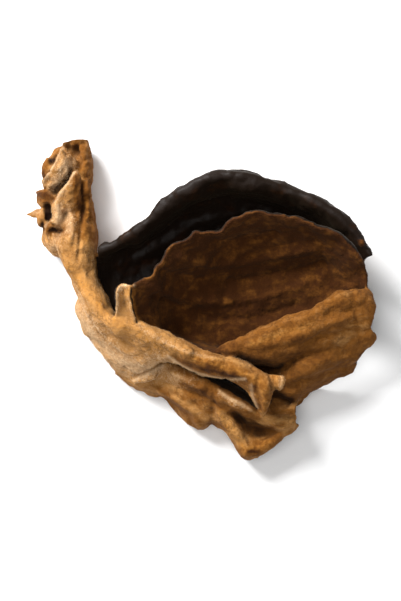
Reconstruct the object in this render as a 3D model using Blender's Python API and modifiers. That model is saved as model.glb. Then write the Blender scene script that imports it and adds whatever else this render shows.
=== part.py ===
"""A dried wood ear mushroom, lying as picked: one leathery fruiting body that grew from one foot.

Its lobes leave a puckered foot and have dried into folds. Lengths in the tables are millimetres, with X to
the right, Y away and Z up from the surface that the mushroom lies on.
"""

from itertools import chain
from math import radians

import bmesh
import bpy
from mathutils import Euler, Matrix, Vector

NAME = "wood_ear"
MM = 0.001

# Driving sizes, in millimetres unless a line says otherwise.
SHEET_THICKNESS = 1.8
# How high the flesh's soft waves are, and how long.
RIPPLES = ((2.4, 14.0), (0.8, 5.0))
# The spacing of the points on the fused skin, and how often and how strongly it is then smoothed.
VOXEL = 0.7
SOFTEN_ROUNDS = 3
SOFTEN_SHARE = 0.5
TRIANGLES = 9600
# Levels of smoothing: while a cage is fitted, and for the finished lobe.
FIT_LEVELS = 2
FIT_ROUNDS = 2
LOBE_LEVELS = 3
BALL_SEGMENTS = 24
BALL_RINGS = 16
# Points nearer than this, in metres, to a plane that cuts the mushroom count as on it.
CUT_REACH = 1e-7
# Planes that it is cut off at: the flat spots that it rests on, and the scar where it was cut from its wood.
REST_PLACE = (0, 0, 0.5)
FOOT_CUT_PLACE = (-40, 48.2, 8)
FOOT_CUT_FACING = (0.2, -1, 0.1)

# Each lobe is a cage: rows of points that its smooth surface passes through, from the foot outwards.
# The band and the rolled hem that it ends in. Rows run from the outer margin over the crest to the
# inner edge.
HEM = (
    ((-47.5, 25, 6), (-46.5, 27, 10), (-43.5, 28, 13), (-40.5, 28.5, 14), (-37.5, 29, 14),
     (-35, 29, 11), (-34.3, 28, 7)),
    ((-48.3, 18, 5), (-47, 18.5, 10), (-43.5, 19, 16), (-39.5, 19, 19), (-35.5, 19, 17), (-33, 19, 12),
     (-32.6, 19, 6)),
    ((-42.8, 11, 5), (-42, 11, 10), (-39.5, 11, 16), (-37, 11, 18.5), (-34.5, 11, 17), (-33, 11, 12),
     (-33, 11, 7)),
    ((-38.5, 4, 5), (-38, 4, 10), (-36, 4, 16), (-34, 4, 18.5), (-32.5, 4, 17.5), (-31.6, 4, 13),
     (-32, 4, 8)),
    ((-37, -5, 3), (-36.8, -5, 8), (-34.5, -4.2, 15), (-32, -3.8, 19), (-29, -3.9, 20.5),
     (-26.6, -4.7, 18.5), (-25.6, -5.2, 13)),
    ((-34, -11, 0.8), (-33, -10.5, 7), (-30.7, -9.3, 14.5), (-28.6, -7.5, 20), (-26.8, -5.8, 23.5),
     (-25.6, -5, 25), (-25, -4.6, 22)),
    ((-29, -17.5, 1), (-28, -16, 7.5), (-25.8, -13.3, 15), (-23.6, -10.3, 21), (-22, -7.8, 25),
     (-21.2, -6.4, 26), (-20.8, -5.8, 23)),
    ((-23.8, -22.4, 6), (-22.6, -21, 10), (-20.3, -16.8, 16.5), (-18.7, -12.8, 22.5), (-18, -9.6, 26),
     (-18, -7.8, 25), (-18.3, -7, 20)),
    ((-17, -22.8, 10), (-16.3, -20.8, 13.5), (-14.5, -17, 19), (-13, -13.5, 24), (-12, -10.8, 26),
     (-11.6, -9.6, 24), (-12, -10, 19)),
    ((-10.8, -17.9, 15.5), (-10.4, -17.2, 18), (-9.2, -15.8, 22), (-8, -14.2, 25), (-7, -12.6, 26),
     (-6.2, -12, 23), (-6.5, -12.5, 18)),
    ((-6.2, -19.1, 17.5), (-5.9, -18.6, 20), (-5.2, -17.8, 23.5), (-4.2, -16.3, 26),
     (-3.2, -14.9, 26.3), (-2, -13.9, 23), (-2.2, -14.3, 18)),
    ((1.6, -22.2, 18.5), (1.9, -21.8, 21), (2.5, -20.8, 24.5), (3.2, -19.2, 26.6), (4, -17.6, 26.3),
     (4.4, -16.6, 23), (4, -17, 18)),
    ((9.4, -23.3, 20), (9.6, -23, 22.2), (10, -22.2, 25), (10.5, -20.9, 26.8), (11, -19.6, 26.3),
     (11.5, -18.6, 23.5), (11.3, -19.1, 20)),
    ((14.2, -27.2, 20.5), (14.7, -27.1, 22.5), (15.8, -26, 25), (17, -24.4, 27), (17.7, -22.9, 26.6),
     (18, -21.8, 24.3), (17.5, -22.2, 21.8)),
    ((17.9, -33.6, 17.5), (18.5, -34.4, 18.8), (19.8, -31.6, 22), (20.6, -28.3, 24.6),
     (21.4, -25.8, 25.2), (22.5, -24.8, 24.6), (21.8, -22.4, 23.6)),
)
# The corner of the hem that stands up between the hollow and the bowl. Rows run from right to left.
EAR = (
    ((-19.2, -8.2, 25.3), (-21.8, -7.3, 24.8), (-24, -6.6, 24.3), (-26, -5.6, 23.6)),
    ((-20.3, -3.8, 29), (-22, -3, 27.3), (-23.9, -2.6, 26.8), (-25.7, -2, 28.6)),
    ((-21.1, 0.8, 31), (-22.4, 1, 29.3), (-24, 1.2, 29.1), (-25.6, 1.2, 31.4)),
    ((-21.2, 4.3, 32.2), (-22.6, 5.1, 31.6), (-24, 4.9, 31.6), (-25.3, 3.6, 32.6)),
)
# The curled end of the hem, in rows from the hollow outwards.
CURL = (
    ((19.6, -21.4, 24.4), (21.4, -21.5, 26), (22.7, -21.8, 26.4), (23.4, -22.2, 25.2)),
    ((19.9, -22.8, 24.8), (21.7, -23, 26), (23.3, -23.2, 26.9), (24.2, -23.4, 25.2)),
    ((20.1, -24.2, 24.6), (21.7, -24.6, 25.6), (23.2, -25, 26.5), (24.1, -25.1, 24.8)),
    ((20.3, -25.6, 23.8), (21.3, -26.1, 24.6), (22.4, -26.4, 24.8), (23.1, -26.3, 23.6)),
)
# Two flaps that lie over the foot like shingles. Rows run from under a flap to its free crest.
UPPER_FLAP = (
    ((-37.8, 42.4, 14.5), (-40, 44.6, 18.4), (-42.2, 46.9, 19.6)),
    ((-38.6, 38, 14.5), (-41, 40.2, 18.8), (-43.7, 42.5, 20.4)),
    ((-40.2, 34.8, 13.8), (-42.8, 36.8, 18), (-46, 39.2, 19.4)),
    ((-42.8, 31.2, 11), (-45.6, 33.2, 15.2), (-49, 35.4, 15.8)),
)
LOWER_FLAP = (
    ((-34.2, 34.8, 15), (-36.2, 37.2, 19.6), (-38, 39.6, 21)),
    ((-35, 31.2, 15.5), (-37.2, 33.8, 20.2), (-39.8, 36.4, 21.8)),
    ((-36.6, 27.4, 15.6), (-39, 30.4, 19.8), (-41.9, 33.5, 21.4)),
    ((-39, 23.6, 14.6), (-41.6, 27.2, 18), (-44.6, 30.1, 18.8)),
)
# The brow over the hole at the foot's left, in rows from left to right.
BROW = (
    ((-50.4, 33.5, 8), (-50.3, 32.4, 10.2), (-50, 31.2, 10.6)),
    ((-48.6, 34.6, 11.6), (-48.5, 32.4, 14.6), (-48.1, 30, 14.6)),
    ((-46.3, 34.8, 13.6), (-46.2, 32.2, 16.4), (-46, 29.6, 16)),
    ((-44.4, 34.2, 14), (-44.2, 32.2, 16.6), (-44.3, 30.4, 16.4)),
)
# The broad near lobe. Rows run from its near margin over a rib and a groove to the ridge that it ends in.
SHEET = (
    ((5, -21, 12), (4.9, -20, 12.5), (4.8, -19.3, 13), (4.6, -18.5, 13.5), (4.4, -17.8, 14),
     (4.2, -17, 14.5), (4, -16, 15), (3.8, -15.3, 14.5)),
    ((12, -24, 8), (11.5, -22.5, 9), (11, -21, 9), (10.8, -19.5, 7), (10.6, -17.5, 7),
     (10.2, -16.3, 17.5), (9.2, -12.9, 20), (8.5, -11.8, 18)),
    ((20, -28.5, 5), (18.5, -25.5, 7), (17.8, -23.2, 7.5), (17.3, -20.8, 6), (17.1, -17.9, 6),
     (16.6, -16.7, 18.5), (15.3, -11, 22.3), (14.3, -9.7, 20)),
    ((26.5, -31.2, 0.2), (25.5, -28, 7), (25, -25, 11.5), (24.8, -22.3, 13.5), (24.6, -18.7, 10.5),
     (24.1, -16.9, 18.3), (22.3, -8, 23.2), (21, -6.6, 20.7)),
    ((30.2, -30.8, -0.2), (31, -27.5, 8), (31.5, -23.5, 14), (32, -19.5, 18), (32.2, -15.8, 17),
     (32, -11, 21), (30.7, -4.6, 24.2), (29.2, -3.2, 21.5)),
    ((36, -25.3, 1.5), (37.5, -23, 8.5), (38.7, -20.5, 13.5), (39.7, -17.5, 16.5), (40.3, -14, 17.8),
     (40.3, -9, 21), (39, -1, 24.5), (37.5, 0.6, 22)),
    ((43.8, -22.2, 6), (45.2, -20.5, 9), (46.4, -18, 12), (47.4, -15.5, 14.5), (48.8, -12.5, 16),
     (48.5, -8, 19), (47.5, 1.5, 22), (46.5, 3.8, 20.5)),
    ((45.8, -21.3, 6), (47, -19.3, 8.5), (48.1, -16.5, 11.5), (49.5, -13.8, 14), (53, -10.7, 16.5),
     (50.2, -7.5, 18.5), (51.3, -2.5, 19), (51, 3, 18)),
)
# The hollow behind the hem. Rows run from the hem's inner edge down across the floor and up to the far
# margin.
HOLLOW = (
    ((-18, -9.4, 24), (-18.3, -8, 24.5), (-18.8, -6.6, 25.2), (-19.6, -4.6, 26.4), (-20.4, -2.2, 27.8),
     (-21, 0.4, 29.2), (-21.3, 2.6, 30.4), (-21.6, 4.8, 31.4)),
    ((-10, -11.5, 19), (-10.2, -10, 12.5), (-10.8, -8, 10.5), (-11.8, -5, 11), (-13, -1.5, 14),
     (-14.3, 2, 19), (-15.5, 5, 25), (-16.8, 7, 29)),
    ((-2, -14.5, 18), (-2.2, -13, 9.5), (-3, -9, 7.5), (-4.5, -4, 8.5), (-6.5, 1.5, 12),
     (-8.5, 6.5, 18), (-10.5, 10.5, 24), (-12, 12, 29.5)),
    ((6.5, -16.5, 17), (6.3, -14.5, 8), (5, -8.5, 6.5), (3, -2, 7.5), (0.5, 5, 11.5), (-2, 11, 18),
     (-5, 16, 25.5), (-6.5, 18, 31)),
    ((16, -17, 8), (15, -13, 7), (13, -6.5, 6.5), (10.5, 1, 7.5), (8, 9, 11.5), (5.5, 15, 18),
     (4, 19, 24.5), (3.5, 20, 28.5)),
    ((25, -14, 8), (24, -10, 7.5), (22, -3, 7.5), (19.5, 5, 9), (17, 13, 13), (14.8, 20, 20),
     (13.3, 24.5, 27.5), (12.5, 26, 32)),
    ((34, -9, 9), (33, -6, 9), (31.5, 0, 9.5), (29.5, 8, 11), (27.5, 15, 15.5), (26, 20, 21.5),
     (25.3, 23, 27), (25, 23.5, 30.5)),
    ((43, -5, 11), (42.7, -2, 11.5), (42, 3, 12.3), (41, 8.5, 14.5), (39.8, 14, 18.5),
     (38.5, 18.5, 23.5), (37.5, 21, 28), (37, 21.8, 30)),
    ((49.5, -3, 16), (49.9, -1, 16), (50.2, 1.5, 16.5), (50.2, 4.5, 17.5), (49.8, 7.5, 19),
     (49, 10.5, 21), (48, 13, 23), (47.3, 14.2, 24.5)),
)
# The near wall and the cup that it ends in. Rows run from the near margin over the rim into the fold
# behind.
WALL = (
    ((-26.6, -22, 1.5), (-25.6, -21, 5), (-23.6, -19, 8), (-21.5, -16.8, 10), (-19.5, -15, 12),
     (-18, -14, 11), (-17, -13.5, 10)),
    ((-19.4, -26.8, 0.5), (-18.8, -26, 5.5), (-17.2, -22.8, 9.5), (-15, -20, 11.5), (-13, -18, 12.5),
     (-11.5, -16.5, 11.5), (-10.5, -15.5, 10)),
    ((-11.5, -30, 0.3), (-11.3, -29.3, 5.5), (-10.3, -26, 9.5), (-9.5, -23, 12), (-8.6, -20, 14),
     (-7.8, -18.6, 12), (-6.5, -17, 8)),
    ((-5.5, -35.3, -0.2), (-5.5, -34.8, 5.5), (-5, -31, 10), (-4.4, -27, 13), (-3.6, -22.3, 16),
     (-3, -21.2, 12.5), (-1.5, -19.5, 6)),
    ((0.5, -38.3, -0.2), (0.3, -37.8, 5.5), (0.8, -34.5, 10.5), (1.6, -30.5, 14), (2.8, -25.6, 17.3),
     (3.8, -24.6, 12.5), (5.5, -22.5, 5)),
    ((6, -38.3, 0.8), (5.5, -37.5, 6.5), (5.6, -35, 12.5), (6.6, -32, 15.5), (8.6, -28.9, 18.2),
     (9.8, -27.6, 12), (11.5, -25.5, 4.5)),
    ((10, -41.5, 2), (9.3, -40.5, 8), (9.2, -37.5, 12), (10.8, -34.3, 10.5), (12.6, -31.4, 17.2),
     (13.8, -30.2, 11), (15.5, -28, 4.5)),
    ((14.5, -47, 4), (13.8, -45.8, 9.5), (13.8, -42, 8.5), (15.3, -38, 5.5), (16.8, -34, 15.5),
     (18.2, -32.6, 9.5), (20.5, -30, 4.5)),
    ((20, -44.6, 5), (19.8, -43.8, 10), (19.5, -41, 9.5), (20.5, -38.5, 8), (22, -36.5, 14),
     (23.5, -34, 10), (25, -31, 4.5)),
    ((26, -40.5, 6), (26, -40, 11), (25.3, -39, 12.5), (25.2, -38, 13), (25.5, -36.8, 14.5),
     (26.5, -34.5, 11), (27.8, -31.5, 4.5)),
    ((28, -37, 8), (28.5, -36.8, 11), (28.3, -36.4, 13), (28.2, -35.6, 13.6), (28.4, -34.4, 13),
     (29, -32.4, 9), (29.8, -29.5, 5)),
)
# The lobe underneath, a bowl that shows its smooth side. Rows run from the near edge across the floor
# to the rim, which curls outwards.
BOWL = (
    ((-30, -2, 10), (-28, -2, 9), (-26, -3, 8), (-24, -4, 7), (-22, -5, 7), (-21, -6, 7), (-20, -7, 7),
     (-19, -8, 7)),
    ((-31.5, 4, 9), (-28, 4, 5), (-22, 4, 3), (-15, 4, 2), (-9, 3, 1.4), (-4, 1, 1.6), (0, -1, 2),
     (3, -4, 3)),
    ((-32, 8, 9), (-28, 9, 5), (-20, 11, 2.5), (-10, 13, 1.3), (1, 13, 1.2), (11, 10, 1.2),
     (18, 5, 1.4), (22, 0, 2.5)),
    ((-32.5, 12, 10), (-28, 13.5, 7), (-19, 17, 5.5), (-8, 22, 3.5), (6, 25, 3), (20, 22, 3),
     (31, 14, 4), (38, 5, 7)),
    ((-32, 13.2, 11.5), (-28, 14.6, 10), (-19, 19, 10), (-8, 26, 9.5), (7, 32, 9.5), (23, 28.5, 9),
     (37.5, 21.5, 11.5), (47.5, 11, 12)),
    ((-31.8, 14.5, 14), (-27.8, 15.8, 13.8), (-18.7, 20.5, 16), (-8.5, 28, 17.5), (6.8, 34.5, 19),
     (23.3, 30.5, 17), (39, 24, 18.5), (49, 12.5, 17.5)),
    ((-31.5, 15.6, 15.6), (-27.5, 16.9, 16), (-18.3, 22.2, 19.6), (-8.8, 30.3, 22.8),
     (6.5, 37.3, 25.5), (23.8, 33, 22.5), (40, 26, 23), (49.8, 14, 20.5)),
    ((-31, 17, 15), (-27, 18, 15.2), (-18, 24.5, 18.8), (-9, 33, 21.3), (6.2, 40, 23.8),
     (24.5, 35.3, 21), (41.3, 28, 21.5), (50.8, 15.5, 19.5)),
)
# The foot's crumpled lumps: where each is, its three half lengths, and its turn about Z in degrees.
LUMPS = (
    ((-41.5, 37.5, 6.8), (6.2, 12.5, 7.2), 0),
    ((-41, 29, 9), (7, 6, 7.5), 0),
    ((-47.2, 31.6, 9), (3.4, 3.2, 5.5), 0),
    ((-43.4, 27.6, 13), (2.6, 5.0, 5.5), 0),
    ((-46.4, 40.3, 8.5), (2.5, 3.8, 6), 0),
    ((-36.2, 40, 9), (2.8, 9.5, 7), 0),
    ((-35.4, 29.5, 10.5), (2.2, 6.5, 6), 8),
    ((-39.5, 49, 8), (4.6, 2.8, 6.5), 0),
    ((-50.4, 27.2, 7), (3.8, 1.2, 1.2), 8),
    ((-48.4, 25.4, 9), (2.2, 3, 4.5), 0),
    ((-45.6, 22.6, 12), (3.2, 1.3, 3.5), 25),
)
# Pits between the lumps, in the same form.
PITS = (
    ((-44.6, 45.2, 17.5), (1.4, 2.4, 6), -22),
    ((-40.9, 36.6, 18.5), (1.0, 2.6, 5), -38),
    ((-37.3, 41.6, 18), (0.9, 1.6, 5), 0),
    ((-36.2, 29.5, 18.5), (0.8, 3.2, 5), 0),
    ((-46.6, 27.0, 16), (1.0, 2.4, 6), 5),
    ((-48.5, 23.0, 14), (0.9, 1.1, 4), 0),
    ((-44.4, 21.6, 19), (2.0, 0.9, 4.5), -8),
)
# The main folds of a lobe, as seen from above: how far its velvety side is raised, the half width, and the
# route.
FOLDS = {
    "hem": (
        (-1.5, 1.7, ((-44, 16), (-41.7, 6.9), (-37.5, 0.3), (-33.8, -6.3), (-29, -11.6), (-25.5, -15))),
        (1.2, 1.8, ((-41.7, 16.5), (-37.8, 8.5), (-34.3, 2.5), (-29.5, -4), (-24.5, -8.5))),
        (0.9, 1.4, ((-37.5, -6), (-33, -11.5), (-28.5, -16), (-24.5, -19.5))),
        (-0.9, 1.4, ((-34, -9.5), (-29.5, -14.5), (-25, -18.5), (-20, -21))),
        (1.1, 1.2, ((-20, -6.4), (-17.3, -8.4), (-11, -12), (-4, -15))),
        (1.4, 1.1, ((-21.5, -24.2), (-17.6, -22.4), (-14.1, -20.6), (-12, -19.3))),
        (-1.5, 1.2, ((-20.5, -22.4), (-17, -20.8), (-13.8, -19.2), (-12.3, -18))),
        (-0.9, 1.6, ((-16, -12.5), (-13.5, -16))),
        (-0.8, 1.5, ((-8, -13), (-6.5, -17))),
        (0.9, 1.3, ((14, -19.5), (18.3, -22.5), (19, -27), (18.9, -32))),
    ),
    "sheet": (
        (-0.8, 2.0, ((20, -17.5), (27, -16.5), (33, -15.5), (37, -13.8), (43, -12))),
        (-0.8, 1.8, ((28, -24), (35, -21), (42, -19.5))),
        (0.8, 1.6, ((20, -12.5), (28, -10), (36, -6.5), (44, -4))),
        (-0.8, 1.6, ((26, -13), (34, -10.5), (42, -8.5), (49, -8.5))),
    ),
    "hollow": (
        (-1.8, 3.0, ((-14, 2), (-6, -2), (4, -5), (16, -5), (28, -1))),
        (1.6, 2.6, ((-15, 5), (-6, 2.5), (6, 0.5), (18, 1.5), (32, 6))),
        (-1.9, 2.8, ((-12, 9), (-2, 7), (10, 6.5), (22, 8.5), (36, 12))),
        (1.5, 2.4, ((-7, 14), (3, 12.5), (13, 13), (24, 15.5), (34, 17))),
        (-1.4, 2.2, ((-2, 19), (6, 18.5), (14, 19.5), (22, 21))),
    ),
    "wall": (
        (0.9, 1.6, ((5.4, -33.2), (8.2, -36.7), (11, -41), (13.8, -45.5))),
        (-1.6, 2.4, ((3.0, -30.5), (3.2, -34.5), (2.6, -38.5))),
        (-1.1, 2.0, ((-17, -22.5), (-10, -25), (-4, -27), (1, -28.5))),
        (1.0, 1.8, ((-12, -26.5), (-6, -29.5), (-2, -33), (-0.5, -37))),
        (-0.9, 1.5, ((16, -43.5), (20, -41.5), (24, -39.5))),
    ),
    "bowl": (
        (-1.0, 2.4, ((-26, 12), (-14, 17), (-2, 25), (12, 28))),
        (0.9, 2.0, ((-22, 14), (-12, 22), (-4, 29), (8, 32.5), (22, 29))),
    ),
}
LOBES = {
    "hem": HEM,
    "ear": EAR,
    "curl": CURL,
    "upper_flap": UPPER_FLAP,
    "lower_flap": LOWER_FLAP,
    "brow": BROW,
    "sheet": SHEET,
    "hollow": HOLLOW,
    "wall": WALL,
    "bowl": BOWL,
}


def clear_scene():
    for obj in list(bpy.data.objects):
        bpy.data.objects.remove(obj, do_unlink=True)


def collection_named(name):
    group = bpy.data.collections.new(name)
    bpy.context.scene.collection.children.link(group)
    return group


def linked(name, shape, group):
    """The bmesh as a new object of this name."""
    mesh = bpy.data.meshes.new(name)
    shape.to_mesh(mesh)
    shape.free()
    obj = bpy.data.objects.new(name, mesh)
    group.objects.link(obj)
    return obj


def evaluated_mesh(obj):
    bpy.context.view_layer.update()
    graph = bpy.context.evaluated_depsgraph_get()
    return bpy.data.meshes.new_from_object(obj.evaluated_get(graph))


def evaluated_shape(obj):
    shape = bmesh.new()
    shape.from_mesh(evaluated_mesh(obj))
    return shape


def ripples(span):
    """Soft noise whose waves are about this long."""
    texture = bpy.data.textures.new("ripples", "CLOUDS")
    texture.noise_scale = span * MM
    texture.noise_depth = 1
    return texture


def fit_cage(lobe, targets):
    """Moves the cage, whose points come first in the smoothed surface, until that meets the targets."""
    for _ in range(FIT_ROUNDS):
        smoothed = evaluated_mesh(lobe)
        for vert, reached, target in zip(lobe.data.vertices, smoothed.vertices, targets):
            vert.co += target - reached.co
        bpy.data.meshes.remove(smoothed)


def grown_surface(name, cage, group):
    """A grid laid through the lobe's cage, smoothed and rippled, which faces the lobe's smooth side."""
    shape = bmesh.new()
    bmesh.ops.create_grid(shape, x_segments=len(cage[0]) - 1, y_segments=len(cage) - 1, size=1.0)
    targets = [Vector(point) * MM for point in chain.from_iterable(cage)]
    for vert, target in zip(shape.verts, targets, strict=True):
        vert.co = target
    surface = linked(name + "_surface", shape, group)
    smooth = surface.modifiers.new("smooth", "SUBSURF")
    smooth.levels = smooth.render_levels = FIT_LEVELS
    fit_cage(surface, targets)
    smooth.levels = smooth.render_levels = LOBE_LEVELS
    for height, span in RIPPLES:
        ripple = surface.modifiers.new("ripple", "DISPLACE")
        ripple.texture = ripples(span)
        ripple.texture_coords = "GLOBAL"
        ripple.strength = height * MM
    return surface


def gap_to_route(place, route):
    """How far the place is from the route, seen from above."""
    gaps = []
    for start, end in zip(route, route[1:]):
        way = Vector(end) - Vector(start)
        share = max(0.0, min(1.0, (place - Vector(start)).dot(way) / way.length_squared))
        gaps.append((place - Vector(start) - way * share).length)
    return min(gaps)


def fold(shape, folds):
    """Raises the velvety side along each fold, or presses it in where the fold's lift is negative."""
    shape.normal_update()
    lifts = []
    for vert in shape.verts:
        place = vert.co.xy / MM
        shares = [max(0.0, 1 - gap_to_route(place, route) / half_width) for _, half_width, route in folds]
        lifts.append(sum(lift * share for (lift, _, _), share in zip(folds, shares)))
    for vert, lift in zip(shape.verts, lifts):
        vert.co -= vert.normal * lift * MM


def add_lobe(name, cage, group):
    """One lobe: its folded surface with its thickness."""
    shape = evaluated_shape(grown_surface(name, cage, group))
    fold(shape, FOLDS.get(name, ()))
    lobe = linked(name, shape, group)
    wall = lobe.modifiers.new("wall", "SOLIDIFY")
    wall.thickness = SHEET_THICKNESS * MM
    wall.offset = 0.0
    return lobe


def add_lumps(name, lumps, group):
    """The lumps, or the pits, as one object of stretched spheres."""
    shape = bmesh.new()
    for place, half_lengths, turn in lumps:
        turned = Euler((0, 0, radians(turn)))
        spot = Matrix.LocRotScale(Vector(place) * MM, turned, Vector(half_lengths) * MM)
        bmesh.ops.create_uvsphere(
            shape, u_segments=BALL_SEGMENTS, v_segments=BALL_RINGS, radius=1.0, matrix=spot
        )
    return linked(name, shape, group)


def add_skin(obj):
    skin = obj.modifiers.new("skin", "REMESH")
    skin.mode = "VOXEL"
    skin.voxel_size = VOXEL * MM


def fused(sources, pits, group):
    """One closed skin round all the sources, which overlap, with the pits carved into it."""
    together = bmesh.new()
    for source in sources:
        together.from_mesh(evaluated_mesh(source))
    draft = linked("draft", together, group)
    add_skin(draft)
    carve = draft.modifiers.new("carve", "BOOLEAN")
    carve.operation = "DIFFERENCE"
    carve.object = pits
    add_skin(draft)
    soft = draft.modifiers.new("soft", "SMOOTH")
    soft.factor = SOFTEN_SHARE
    soft.iterations = SOFTEN_ROUNDS
    return draft


def keep_outer_skin(shape):
    """Deletes every island of the mesh but the biggest."""
    left = set(shape.verts)
    islands = []
    while left:
        island = {left.pop()}
        edge_of = list(island)
        while edge_of:
            for edge in edge_of.pop().link_edges:
                for vert in edge.verts:
                    if vert in left:
                        left.remove(vert)
                        island.add(vert)
                        edge_of.append(vert)
        islands.append(island)
    islands.sort(key=len)
    for island in islands[:-1]:
        bmesh.ops.delete(shape, geom=list(island), context="VERTS")


def thinned_out(shape, group):
    """The shape with few enough triangles for a solid."""
    fine = linked("fine", shape, group)
    fewer = fine.modifiers.new("fewer", "DECIMATE")
    fewer.ratio = TRIANGLES / sum(len(face.vertices) - 2 for face in fine.data.polygons)
    fewer.use_collapse_triangulate = True
    return evaluated_shape(fine)


def cut_flat(shape, place, kept_side):
    """Cuts the mushroom off flat at the plane through this place, which faces the side that is kept."""
    bmesh.ops.bisect_plane(
        shape,
        geom=shape.verts[:] + shape.edges[:] + shape.faces[:],
        plane_co=Vector(place) * MM,
        plane_no=kept_side,
        clear_inner=True,
        dist=CUT_REACH,
    )
    bmesh.ops.holes_fill(shape, edges=[edge for edge in shape.edges if edge.is_boundary])
    bmesh.ops.triangulate(shape, faces=[face for face in shape.faces if len(face.verts) > 3])


def settle(shape):
    """Moves the mushroom so that it lies on Z 0 with the middle of its box over the origin."""
    corners = [[pick(vert.co[axis] for vert in shape.verts) for axis in range(3)] for pick in (min, max)]
    middle = (Vector(corners[0]) + Vector(corners[1])) / 2
    bmesh.ops.translate(shape, verts=shape.verts, vec=(-middle.x, -middle.y, -corners[0][2]))


def leathery():
    material = bpy.data.materials.new("leathery_flesh")
    material.use_nodes = True
    surface = material.node_tree.nodes["Principled BSDF"]
    surface.inputs["Base Color"].default_value = (0.33, 0.18, 0.07, 1)
    surface.inputs["Roughness"].default_value = 0.8
    surface.inputs["Metallic"].default_value = 0.0
    return material


def main():
    clear_scene()
    model = collection_named(NAME)
    helpers = collection_named("helpers")
    sources = [add_lobe(name, cage, helpers) for name, cage in LOBES.items()]
    sources.append(add_lumps("foot", LUMPS, helpers))
    pits = add_lumps("pits", PITS, helpers)
    shape = evaluated_shape(fused(sources, pits, helpers))
    keep_outer_skin(shape)
    shape = thinned_out(shape, helpers)
    cut_flat(shape, REST_PLACE, (0, 0, 1))
    cut_flat(shape, FOOT_CUT_PLACE, FOOT_CUT_FACING)
    settle(shape)
    mushroom = linked(NAME, shape, model)
    mushroom.data.materials.append(leathery())
    mushroom.data.shade_smooth()
    for helper in helpers.objects:
        helper.hide_render = True
        helper.display_type = "WIRE"


if __name__ == "__main__":
    main()
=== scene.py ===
"""The looks of a dried wood ear mushroom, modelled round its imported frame.

It is one leathery fruiting body: velvety and tan on the side that grew outwards, smooth and black on
the other. The shape is the frame's, from the same lobes, with finer folds, thin wavy margins and a
crumpled foot.
"""

from itertools import chain
from math import cos, pi, radians, sin, sqrt

import bpy
import numpy as np
from bpy.props import FloatProperty, FloatVectorProperty, IntProperty, PointerProperty
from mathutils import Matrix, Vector, noise
from mathutils.bvhtree import BVHTree


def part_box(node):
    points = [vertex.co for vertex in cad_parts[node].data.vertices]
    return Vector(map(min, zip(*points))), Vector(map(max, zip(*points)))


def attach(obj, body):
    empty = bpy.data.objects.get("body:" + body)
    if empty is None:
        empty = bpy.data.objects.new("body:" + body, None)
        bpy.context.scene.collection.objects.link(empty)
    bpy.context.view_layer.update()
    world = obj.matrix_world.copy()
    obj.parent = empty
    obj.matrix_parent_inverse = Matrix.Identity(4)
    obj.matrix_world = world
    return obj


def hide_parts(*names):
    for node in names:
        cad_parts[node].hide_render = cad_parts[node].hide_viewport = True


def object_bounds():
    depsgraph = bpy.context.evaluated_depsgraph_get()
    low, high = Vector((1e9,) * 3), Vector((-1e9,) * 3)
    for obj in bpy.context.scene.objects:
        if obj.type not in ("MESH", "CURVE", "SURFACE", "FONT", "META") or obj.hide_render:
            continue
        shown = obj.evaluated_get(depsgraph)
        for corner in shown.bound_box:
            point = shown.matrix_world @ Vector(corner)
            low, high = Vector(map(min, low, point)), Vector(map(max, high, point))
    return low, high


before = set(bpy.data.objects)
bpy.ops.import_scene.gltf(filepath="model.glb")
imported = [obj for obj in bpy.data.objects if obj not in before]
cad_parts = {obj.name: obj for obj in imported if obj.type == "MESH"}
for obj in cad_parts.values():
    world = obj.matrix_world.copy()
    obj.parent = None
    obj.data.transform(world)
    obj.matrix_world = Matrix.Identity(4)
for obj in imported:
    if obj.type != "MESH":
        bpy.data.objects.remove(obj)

bl_info = {
    "name": "Dried wood ear mushroom",
    "version": (1, 0, 0),
    "blender": (4, 5, 0),
    "location": "3D View > Sidebar > Wood Ear",
    "description": "Models the flesh of a dried wood ear mushroom round its packed frame, and lights it",
    "category": "Object",
}

NODE = "wood_ear"
CAD_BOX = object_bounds()
MM = 0.001

# How the lobes are smoothed. Lengths are in millimetres, up to those of the stage.
FIT_ROUNDS = 2
FIT_LEVELS = 2
LOBE_LEVELS = 4
# The height and the span of each layer of soft ripples.
RIPPLES = ((2.4, 14.0), (0.8, 5.0))

# The wrinkles of a lobe: how high they are, and how long across its rows and outwards.
STREAK_HEIGHT = 0.28
STREAK_SPANS = (2.6, 12.0)
CRUMPLE_HEIGHT = 0.5
CRUMPLE_SPAN = 6.0
FLUTTER_SPAN = 6.0
MARGIN_WIDTH = 5.0
RIDGE_OFFSET, RIDGE_GAIN = 1.0, 2.0
# How steeply a fold or mark falls off from its route.
SHARPNESS = 1.4

# The two flat cuts: where the mushroom rests, and where its foot was cut off.
REST_PLACE = (0, 0, 0.5)
FOOT_CUT_PLACE = (-40, 48.2, 8)
FOOT_CUT_FACING = (0.2, -1, 0.1)
SCAR_RIM = 0.3
CUT_THRESHOLD = 1e-7

# The foot is what lies beyond FOOT_SIDE and FOOT_START, or farther than FOOT_DEPTH from every lobe's
# own surface.
FOOT_SIDE = -30.0
FOOT_START = 19.0
FOOT_BLEND = 6.0
FOOT_DEPTH = 1.7
FOOT_CRUMPLE = 0.5
FOOT_GRAIN = 2.6
FINE_CRUMPLE = 0.17
FINE_SPAN = 2.2

# The rays that sound out what is round a point: how many, how far they reach, the least cosine between
# a ray and the way out of the skin, and how far off the skin they start.
SIGHT_RAYS = 40
SIGHT_REACH = 14.0
SIGHT_SLANT = 0.2
SKIN_GAP = 0.05

# The grain that runs outwards over a lobe, its pale rim, and how many times each measure of the skin is
# averaged over neighbouring points.
GRAIN_SPANS = (0.9, 7.0)
GRAIN_APART = 30.0
RIM_WIDTH = 2.5
TONE_TOP = 1.2
ROUNDS = {"above": 3, "smooth_side": 3, "rim": 2, "tone": 6, "grain": 1, "openness": 2}

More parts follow.
